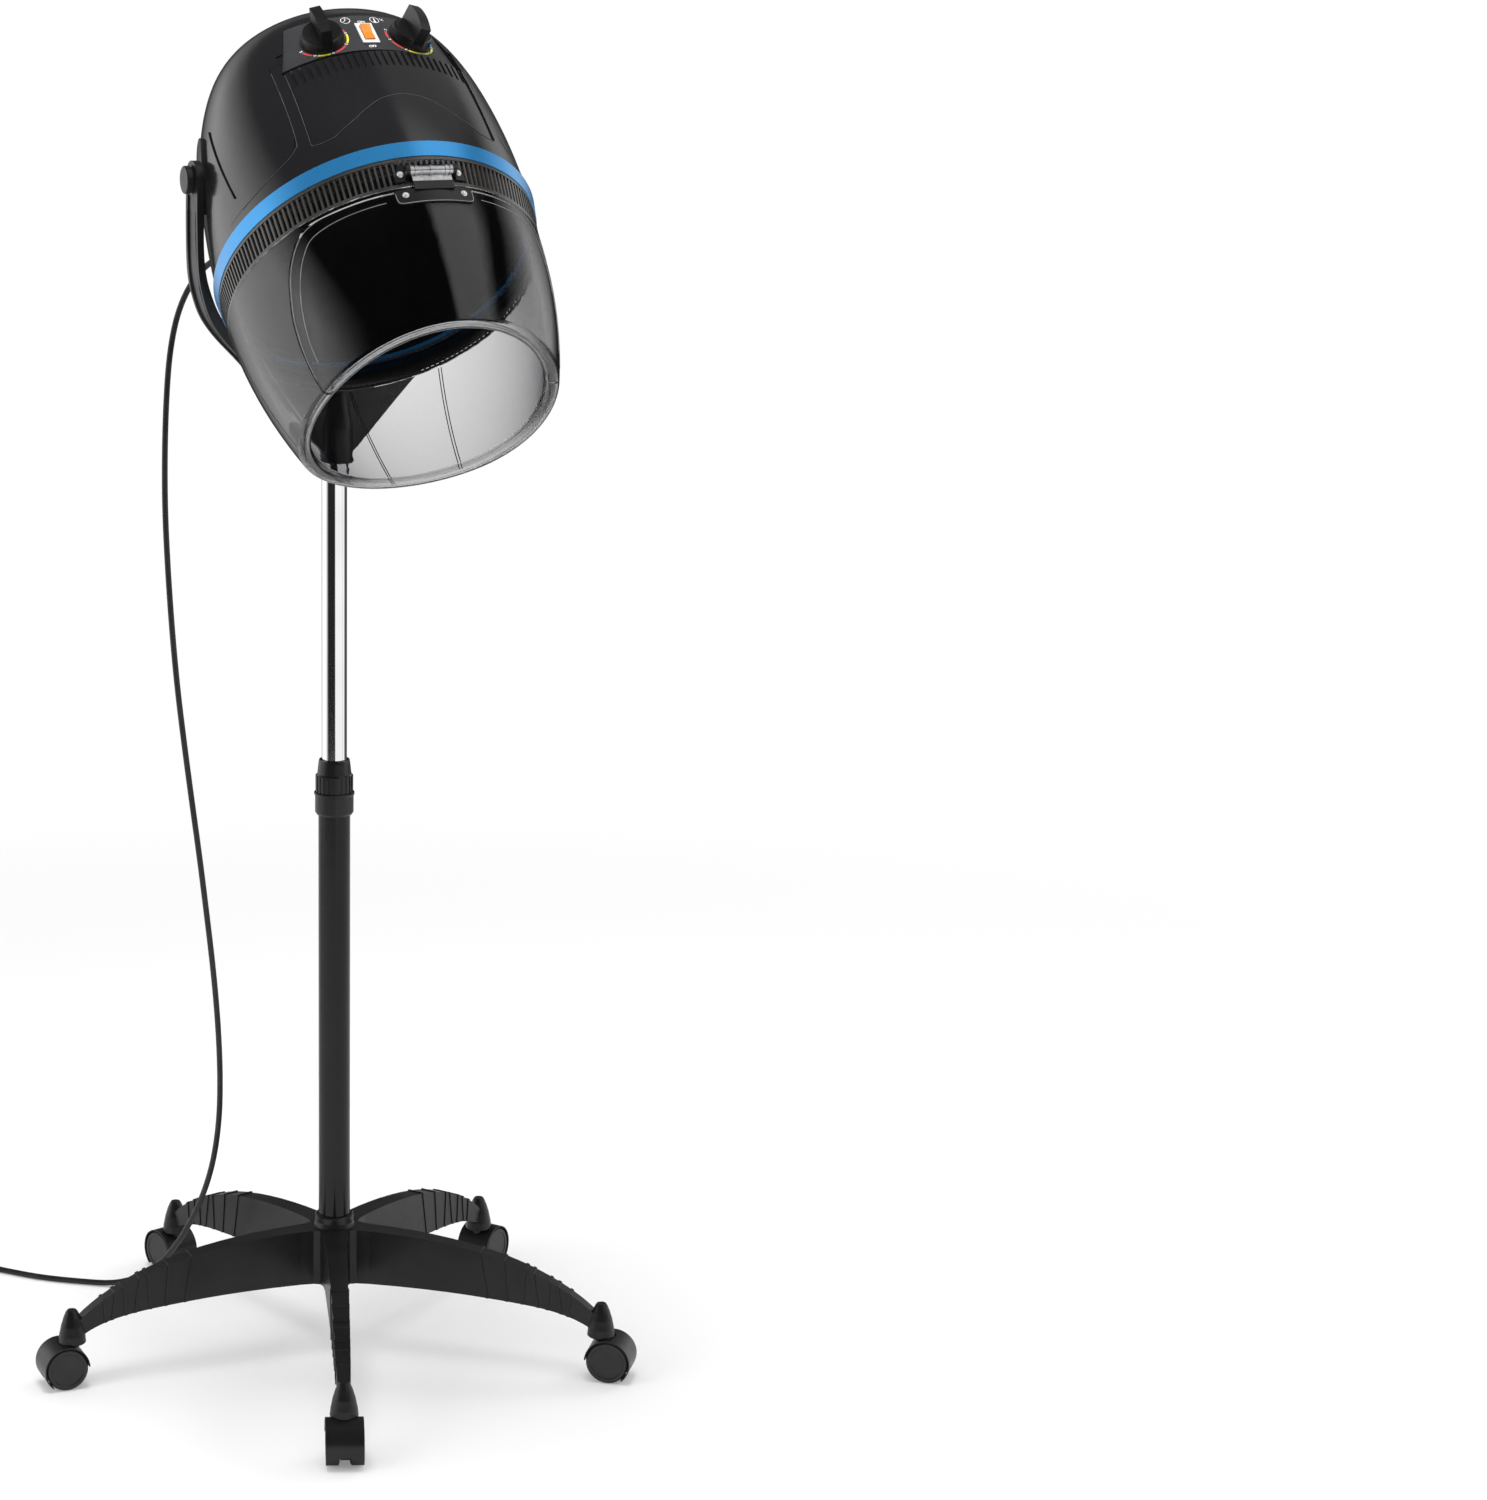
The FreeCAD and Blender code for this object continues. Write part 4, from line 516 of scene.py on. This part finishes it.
def add_cover_lines():
    """Painted highlights along the edges of the front cover's sunk field and along its seams, and painted
    shadows beside the pivots along the plates' front edges.
    """
    edge = [(87.4, 140), (88.4, 92), (89.5, 44)]
    foot = [(89.5, 44), (88.6, 41.8), (86.5, 41), (80, 40.4), (70.9, 41.7)]
    arch = [(70.9, 41.7), (62.1, 48), (50.4, 55.8), (35, 67.7), (19.3, 77), (0, 81.3)]
    seam = [(95.8, 152), (98.2, 62), (101.5, 47), (112.5, 38), (128, 31.5), (141, 27)]
    runs = []
    plate_shadows = []
    for side in (-1, 1):
        for line in (edge, foot, arch, seam):
            runs.append([dome_front(side * x, z) for x, z in through(line)])
        plate_shadows.append([dome_side(side, -19 - 32 * i / PLATE_SHADOW_STEPS, 146 - 100 * i / PLATE_SHADOW_STEPS, 0.3)
                      for i in range(PLATE_SHADOW_STEPS + 1)])
    # Grey lines on the black cover: painted highlights of its edges and seams.
    bead("cover_edge_highlights", runs, "hood", TRIM["dark_line"], 0.28)
    # Near-black lines: painted shadow along each pivot plate's front edge.
    bead("pivot_plate_edge_shadows", plate_shadows, "hood", TRIM["slot"], 1.1)


def depth_at(edge, z):
    """Depth at a height of an edge, whose points are depth and height from the top down."""
    above, below = next((a, b) for a, b in zip(edge, edge[1:]) if a.y >= z >= b.y)
    part = (above.y - z) / (above.y - below.y)
    return above.x + (below.x - above.x) * part


def add_arm_lines():
    """Raised lines along both edges of each yoke arm's outer face, its outline as in the part's source."""
    outer = through([(156, 1222), (156, 1175), (154.6, 1140), (150.3, 1106), (144.3, 1087), (137, 1071),
                     (126.5, 1056), (114, 1042), (101, 1029)])
    front = through([(-57.4, 1204.4), (-56.5, 1180), (-51, 1130), (-42, 1090), (-28, 1050), (-17, 1015)])
    rear = through([(-21.4, 1204.4), (-18.5, 1165), (-11, 1120), (0, 1080), (9, 1045), (12, 1015)])
    low, high = 1040, 1182
    runs = []
    for edge, inset in ((front, 5.3), (rear, -5.3)):
        for side in (-1, 1):
            runs.append([Vector((side * (x + BEAD_PROUD), depth_at(edge, z) + inset, z)) * MM
                         for x, z in outer if low < z < high])
    bead("yoke_edge_lines", runs, "yoke", TRIM["dark_line"], 0.4)


def add_seams():
    """Double seams down the visor's rear wall: one out to each side, then one near its middle."""
    bottom, rise = -169, 137
    runs = []
    for low, high in ((70, 92), (-70, -92), (8, 8)):
        for apart in (-SEAM_APART, SEAM_APART):
            line = [(low + (high - low) * i / SEAM_STEPS + apart, bottom + rise * i / SEAM_STEPS)
                    for i in range(SEAM_STEPS + 1)]
            runs.append([barrel_front(x, z, BEAD_PROUD, rear=True) for x, z in line])
    bead("visor_seams", runs, "hood", TRIM["seam"], 0.5)


def guard_low(angle):
    """Lower edge of the guard behind the slats: half height in front, nearly full height at the rear."""
    rearward = min(1.0, max(0.0, (0.35 - math.cos(angle)) / 0.7))
    return GUARD_FRONT_LOW - GUARD_REAR_DROP * rearward


def add_vent_guard():
    """Dark guard strip behind the vent ring's slats, left open behind the hinge."""
    bm = bmesh.new()
    near, far = GUARD_INSETS
    rings = []
    for i in range(GUARD_STEPS + 1):
        angle = 2 * math.pi * i / GUARD_STEPS
        low = guard_low(angle)
        rows = []
        for z, inset in ((GUARD_TOP, near), (GUARD_TOP, far), (low, far), (low, near)):
            a = BARREL_HALF + VENT_FLARE * (z - VENT_BOTTOM) / -VENT_BOTTOM
            rows.append(Vector(((a - inset) * math.sin(angle), -(a * OVAL - inset) * math.cos(angle), z)))
        hidden = abs(rows[0].x) < GUARD_GAP and rows[0].y < 0
        rings.append(None if hidden else [bm.verts.new(HOOD @ (p * MM)) for p in rows])
    for before, after in zip(rings, rings[1:]):
        if before and after:
            for k in range(4):
                bm.faces.new((before[k], before[(k + 1) % 4], after[(k + 1) % 4], after[k]))
        elif before or after:
            bm.faces.new(before or after)
    piece("vent_guard", bm, "hood", MATERIALS["black_plastic"])


# ---------------------------------------------------------------- materials

def link(tree, a, b):
    """Joins an output socket to an input socket."""
    tree.links.new(a, b)


def add_node(tree, kind, **inputs):
    """New node with some of its inputs set, their names with _ for spaces."""
    node = tree.nodes.new(kind)
    set_inputs(node, inputs)
    return node


def set_inputs(node, inputs):
    """Sets a node's inputs by name, with _ for spaces."""
    for name, value in inputs.items():
        node.inputs[name.replace("_", " ")].default_value = value


def new_tree(name):
    """New material and its node tree."""
    material = bpy.data.materials.new(name)
    material.use_nodes = True
    return material, material.node_tree


def noise(tree, coords, scale, detail=3.0, stretch=None):
    """Noise in object space, its scale in features a metre, drawn out along an axis if asked."""
    if stretch:
        mapping = add_node(tree, "ShaderNodeMapping", Scale=stretch)
        link(tree, coords, mapping.inputs["Vector"])
        coords = mapping.outputs["Vector"]
    texture = add_node(tree, "ShaderNodeTexNoise", Scale=scale, Detail=detail)
    link(tree, coords, texture.inputs["Vector"])
    return texture.outputs["Fac"]


def ranged(tree, value, low, high, start=0.3, end=0.7):
    """Value moved from the range start to end into the range low to high."""
    node = add_node(tree, "ShaderNodeMapRange", To_Min=low, To_Max=high, From_Min=start, From_Max=end)
    link(tree, value, node.inputs["Value"])
    return node.outputs["Result"]


def blended(tree, factor, a, b):
    """Colour between a and b, each a colour or a socket."""
    node = tree.nodes.new("ShaderNodeMix")
    node.data_type = "RGBA"
    link(tree, factor, node.inputs[0])
    for socket, value in ((node.inputs[6], a), (node.inputs[7], b)):
        if isinstance(value, tuple):
            socket.default_value = (*value, 1)
        else:
            link(tree, value, socket)
    return node.outputs[2]


def mixed(tree, factor, a, b):
    """Shader between a and b."""
    node = tree.nodes.new("ShaderNodeMixShader")
    for socket, source in zip(node.inputs, (factor, a, b)):
        link(tree, source, socket)
    return node.outputs[0]


def reckon(tree, operation, first, *others):
    """Arithmetic on sockets or numbers, from the first on through the others."""
    for other in others:
        node = tree.nodes.new("ShaderNodeMath")
        node.operation = operation
        for socket, value in zip(node.inputs, (first, other)):
            if isinstance(value, (int, float)):
                socket.default_value = value
            else:
                link(tree, value, socket)
        first = node.outputs[0]
    return first


def surface(name, dark, light, rough, grain, depth, blotch, stretch=None, **shader_inputs):
    """Principled material: colour and roughness vary in broad soft patches, bump is a fine grain."""
    material, tree = new_tree(name)
    shader = tree.nodes["Principled BSDF"]
    set_inputs(shader, shader_inputs)
    coords = tree.nodes.new("ShaderNodeTexCoord").outputs["Object"]
    patches = noise(tree, coords, blotch)
    link(tree, blended(tree, ranged(tree, patches, 0, 1), dark, light), shader.inputs["Base Color"])
    fine = noise(tree, coords, grain, 2.0, stretch)
    scuffs = noise(tree, coords, blotch * 5, 4.0, stretch)
    link(tree, ranged(tree, scuffs, *rough, 0.35, 0.7), shader.inputs["Roughness"])
    bump = add_node(tree, "ShaderNodeBump", Strength=1.0, Distance=depth)
    link(tree, fine, bump.inputs["Height"])
    link(tree, bump.outputs["Normal"], shader.inputs["Normal"])
    return material


def smoked(name, tint, edge, density, slant_range):
    """Clear smoked acrylic: darker at a slant and where light runs further inside.

    Shadow and diffuse rays pass it as plain tinted glass, so the lamps light what is behind it.
    """
    material, tree = new_tree(name)
    shader = tree.nodes["Principled BSDF"]
    slant = add_node(tree, "ShaderNodeLayerWeight", Blend=0.5).outputs["Facing"]
    colour = blended(tree, ranged(tree, slant, 0, 1, *slant_range), tint, edge)
    link(tree, colour, shader.inputs["Base Color"])
    set_inputs(shader, {"Transmission_Weight": 1, "IOR": 1.49})
    coords = tree.nodes.new("ShaderNodeTexCoord").outputs["Object"]
    link(tree, ranged(tree, noise(tree, coords, 60, 4.0), 0.0, 0.004), shader.inputs["Roughness"])
    path = tree.nodes.new("ShaderNodeLightPath")
    plain = reckon(tree, "MAXIMUM", path.outputs["Is Shadow Ray"], path.outputs["Is Diffuse Ray"])
    clear = add_node(tree, "ShaderNodeBsdfTransparent", Color=(*[c * 0.92 for c in tint], 1))
    output = tree.nodes["Material Output"]
    link(tree, mixed(tree, plain, shader.outputs[0], clear.outputs[0]), output.inputs["Surface"])
    absorb = add_node(tree, "ShaderNodeVolumeAbsorption", Color=(0.16, 0.16, 0.17, 1), Density=density)
    link(tree, absorb.outputs[0], output.inputs["Volume"])
    return material


# Finishes by the record's material slots
MATERIALS = {
    "gloss_black": surface(
        "gloss_black", (0.010, 0.010, 0.011), (0.013, 0.013, 0.014), rough=(0.17, 0.21),
        grain=1300, depth=2e-6, blotch=6, Coat_Weight=0.3, Coat_Roughness=0.1),
    "black_plastic": surface(
        "black_plastic", (0.008, 0.008, 0.0085), (0.013, 0.013, 0.0135), rough=(0.28, 0.36),
        grain=1100, depth=2e-5, blotch=28, Specular_IOR_Level=0.42),
    "smoked_visor": smoked(
        "smoked_visor", (0.97, 0.97, 0.975), edge=(0.04, 0.04, 0.043), density=66.0, slant_range=(0.22, 0.7)),
    "blue_band": surface(
        "blue_band", (0.038, 0.29, 0.66), (0.048, 0.33, 0.72), rough=(0.26, 0.32),
        grain=2600, depth=3e-6, blotch=5, Metallic=0.6, Coat_Weight=0.3, Coat_Roughness=0.12),
    "chrome": surface(
        "chrome", (0.78, 0.78, 0.79), (0.84, 0.84, 0.85), rough=(0.05, 0.08),
        grain=500, depth=4e-7, blotch=20, stretch=(1, 1, 0.03), Metallic=1.0),
    "black_paint": surface(
        "black_paint", (0.004, 0.004, 0.004), (0.007, 0.007, 0.007), rough=(0.14, 0.19),
        grain=1500, depth=2e-6, blotch=24, Specular_IOR_Level=0.35),
    "steel": surface(
        "steel", (0.5, 0.5, 0.51), (0.66, 0.66, 0.67), rough=(0.2, 0.34),
        grain=900, depth=2e-5, blotch=60, Metallic=1.0),
    "grey_panel": surface(
        "grey_panel", (0.03, 0.03, 0.032), (0.038, 0.038, 0.04), rough=(0.42, 0.5),
        grain=1400, depth=3e-5, blotch=40),
    "bezel_grey": surface(
        "bezel_grey", (0.62, 0.62, 0.63), (0.7, 0.7, 0.71), rough=(0.36, 0.45),
        grain=1200, depth=2e-5, blotch=90),
    "amber": surface(
        "amber", (0.83, 0.23, 0.01), (0.9, 0.33, 0.03), rough=(0.14, 0.22),
        grain=900, depth=1e-5, blotch=120,
        Transmission_Weight=0.25, Coat_Weight=0.5, Coat_Roughness=0.06),
    "cord_rubber": surface(
        "cord_rubber", (0.012, 0.012, 0.013), (0.022, 0.022, 0.023), rough=(0.42, 0.55),
        grain=1600, depth=6e-5, blotch=50),
    "wheel_rubber": surface(
        "wheel_rubber", (0.013, 0.013, 0.014), (0.02, 0.02, 0.021), rough=(0.3, 0.42),
        grain=1300, depth=3e-5, blotch=60),
    "bowl_plastic": surface(
        "bowl_plastic", (0.006, 0.006, 0.006), (0.010, 0.010, 0.010), rough=(0.5, 0.6),
        grain=900, depth=2e-5, blotch=28, Specular_IOR_Level=0.12),
    "mica": surface(
        "mica", (0.5, 0.43, 0.3), (0.66, 0.6, 0.46), rough=(0.4, 0.6),
        grain=600, depth=1e-4, blotch=90),
    "aluminium": surface(
        "aluminium", (0.6, 0.6, 0.61), (0.7, 0.7, 0.71), rough=(0.25, 0.38),
        grain=700, depth=2e-5, blotch=60, Metallic=1.0),
}

# Finishes of single nodes that differ from their slot's
OWN_LOOKS = {
    "visor_flap": smoked(
        "smoked_flap", (0.93, 0.93, 0.935), edge=(0.05, 0.05, 0.053), density=110.0, slant_range=(0.2, 0.85)),
    "vent_ring": surface(
        "vent_smoke", (0.028, 0.027, 0.026), (0.05, 0.048, 0.045), rough=(0.2, 0.3),
        grain=1400, depth=4e-6, blotch=30, stretch=(1, 1, 0.2), Coat_Weight=0.3, Coat_Roughness=0.1),
    "bracket_screws": surface(
        "screw_bright", (0.75, 0.75, 0.76), (0.86, 0.86, 0.87), rough=(0.12, 0.2),
        grain=900, depth=2e-6, blotch=200, Metallic=0.55),
}
OWN_LOOKS["flap_screws"] = OWN_LOOKS["bracket_screws"]

PRINTS = {
    name: surface("print_" + name, dark, light, rough=(0.45, 0.6), grain=2600, depth=4e-6, blotch=200)
    for name, dark, light in (
        ("white", (0.72, 0.72, 0.72), (0.82, 0.82, 0.82)),
        ("red", (0.50, 0.045, 0.045), (0.60, 0.065, 0.06)),
        ("yellow", (0.62, 0.56, 0.035), (0.72, 0.66, 0.05)),
        ("blue", (0.03, 0.22, 0.6), (0.04, 0.28, 0.7)))
}
TRIM = {
    name: surface(name, dark, light, rough=rough, grain=1800, depth=3e-6, blotch=80)
    for name, dark, light, rough in (
        # Pale grey lines along the flap's edges: painted highlights.
        ("pale_highlight_line", (0.22, 0.22, 0.225), (0.32, 0.32, 0.325), (0.25, 0.4)),
        # Grey lines; on the front cover these are painted highlights of its edges and seams.
        ("dark_line", (0.05, 0.05, 0.05), (0.09, 0.09, 0.09), (0.3, 0.45)),
        # Near-black lines beside the pivots: painted shadow along the plates' front edges.
        ("slot", (0.002, 0.002, 0.002), (0.004, 0.004, 0.004), (0.6, 0.7)),
        ("seam", (0.05, 0.05, 0.052), (0.09, 0.09, 0.092), (0.3, 0.45)))
}


def dress_nodes():
    """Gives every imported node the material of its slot, or its own."""
    for entry in frame["record"]["subparts"]:
        material = OWN_LOOKS.get(entry["node"]) or MATERIALS[entry["material_slot"]]
        for holder in NODES[entry["node"]].material_slots:
            holder.material = material


# ---------------------------------------------------------------- light, floor, background

def looked_at(tree):
    """Light path, and 1 for what a camera sees directly or straight through glass."""
    path = tree.nodes.new("ShaderNodeLightPath")
    unmirrored = reckon(tree, "LESS_THAN", path.outputs["Glossy Depth"], 0.5)
    straight = reckon(tree, "MULTIPLY", path.outputs["Is Transmission Ray"], unmirrored)
    return path, reckon(tree, "MAXIMUM", path.outputs["Is Camera Ray"], straight)


def towards(tree, direction, way):
    """How far a direction turns towards a fixed way: 1 along it, 0 across it."""
    facing = tree.nodes.new("ShaderNodeVectorMath")
    facing.operation = "DOT_PRODUCT"
    facing.inputs[1].default_value = way
    link(tree, direction, facing.inputs[0])
    return facing.outputs["Value"]


def studio_walls(tree, direction):
    """Pale walls: dark towards the camera, overhead and straight behind, with a flag and a box low down."""
    ahead = towards(tree, direction, CAMERA_WAY)
    rise = towards(tree, direction, (0, 0, 1))
    walls = reckon(tree, "MULTIPLY", ranged(tree, ahead, 1.0, 0.0, 0.05, 0.55),
                   ranged(tree, rise, 1.0, 0.0, 0.2, 0.54), ranged(tree, ahead, 0.05, 1.0, -0.96, -0.76))
    below = ranged(tree, rise, 1.0, 0.0, -0.1, 0.0)
    flag = ranged(tree, towards(tree, direction, REAR_RIGHT_WAY), 0.0, 0.92, 0.8, 0.86)
    box = ranged(tree, towards(tree, direction, FRONT_RIGHT_WAY), 0.0, 1.0, 0.76, 0.82)
    unflagged = reckon(tree, "SUBTRACT", 1.0, reckon(tree, "MULTIPLY", below, flag))
    walls = reckon(tree, "MULTIPLY", walls, unflagged)
    walls = reckon(tree, "MAXIMUM", walls, reckon(tree, "MULTIPLY", below, box))
    leftward = ranged(tree, towards(tree, direction, (1, 0, 0)), 1.5, 1.1, -0.95, -0.2)
    return reckon(tree, "MULTIPLY", walls, leftward)


def studio_strip(tree, direction):
    """Bright strip high at the right, weaker towards the rear."""
    across = towards(tree, direction, (1, 0, 0))
    rise = towards(tree, direction, (0, 0, 1))
    rearward = towards(tree, direction, (0, 1, 0))
    return reckon(tree, "MULTIPLY", ranged(tree, across, 0.0, 0.95, 0.2, 0.28),
                  ranged(tree, across, 1.0, 0.0, 0.66, 0.78), ranged(tree, rise, 0.0, 1.0, 0.2, 0.4),
                  ranged(tree, rearward, 1.0, 0.2, 0.0, 0.2))


def add_world():
    """White behind the object, even light on it, and the studio's pattern in its reflections."""
    world = bpy.data.worlds.new("studio")
    bpy.context.scene.world = world
    world.use_nodes = True
    tree = world.node_tree
    tree.nodes.clear()
    path, seen = looked_at(tree)
    direction = tree.nodes.new("ShaderNodeTexCoord").outputs["Generated"]
    studio = reckon(tree, "MAXIMUM", studio_walls(tree, direction), studio_strip(tree, direction), 0.02)
    mirrored = reckon(tree, "MAXIMUM", path.outputs["Is Glossy Ray"], path.outputs["Is Transmission Ray"])
    soft = blended(tree, mirrored, (0.62, 0.62, 0.63), studio)
    background = tree.nodes.new("ShaderNodeBackground")
    link(tree, blended(tree, seen, soft, (1.0, 1.0, 1.0)), background.inputs["Color"])
    output = tree.nodes.new("ShaderNodeOutputWorld")
    link(tree, background.outputs[0], output.inputs["Surface"])


def add_lamp(name, location, target, size, power):
    """Disk lamp aimed at a target, unseen in gloss and glass."""
    data = bpy.data.lights.new(name, "AREA")
    data.shape = "DISK"
    data.size = size
    data.energy = power
    lamp = bpy.data.objects.new(name, data)
    lamp.location = location
    lamp.rotation_euler = (Vector(target) - Vector(location)).to_track_quat("-Z", "Y").to_euler()
    lamp.visible_glossy = False
    lamp.visible_transmission = False
    bpy.context.collection.objects.link(lamp)


def floor_material():
    """White that keeps the shadow near the stand and fades into the background further out."""
    material, tree = new_tree("floor_white")
    tree.nodes.clear()
    _, seen = looked_at(tree)
    away = tree.nodes.new("ShaderNodeVectorMath")
    away.operation = "LENGTH"
    link(tree, tree.nodes.new("ShaderNodeTexCoord").outputs["Object"], away.inputs[0])
    fade = ranged(tree, away.outputs["Value"], 0.0, 1.0, *FLOOR_FADE)
    lit = add_node(tree, "ShaderNodeBsdfDiffuse", Color=(0.72, 0.72, 0.72, 1))
    glow = add_node(tree, "ShaderNodeEmission", Color=(1, 1, 1, 1), Strength=0.22)
    lifted = tree.nodes.new("ShaderNodeAddShader")
    link(tree, lit.outputs[0], lifted.inputs[0])
    link(tree, glow.outputs[0], lifted.inputs[1])
    white = add_node(tree, "ShaderNodeEmission", Color=(1, 1, 1, 1), Strength=1.0)
    faded = mixed(tree, fade, lifted.outputs[0], white.outputs[0])
    output = tree.nodes.new("ShaderNodeOutputMaterial")
    link(tree, mixed(tree, seen, lit.outputs[0], faded), output.inputs["Surface"])
    return material


def add_floor():
    """Plain round floor, which isn't part of the object."""
    bm = bmesh.new()
    bmesh.ops.create_circle(bm, cap_ends=True, segments=96, radius=FLOOR_RADIUS)
    floor = piece("floor", bm, None, floor_material(), smooth=False)
    floor.location.z = -FLOOR_DROP


add_camera()
add_cord(MATERIALS["cord_rubber"])
dress_nodes()
add_prints()
add_flap_lines()
add_cover_lines()
add_arm_lines()
add_seams()
add_vent_guard()
add_world()
for lamp in LAMPS:
    add_lamp(*lamp)
add_floor()
bpy.context.scene.view_settings.view_transform = "Standard"
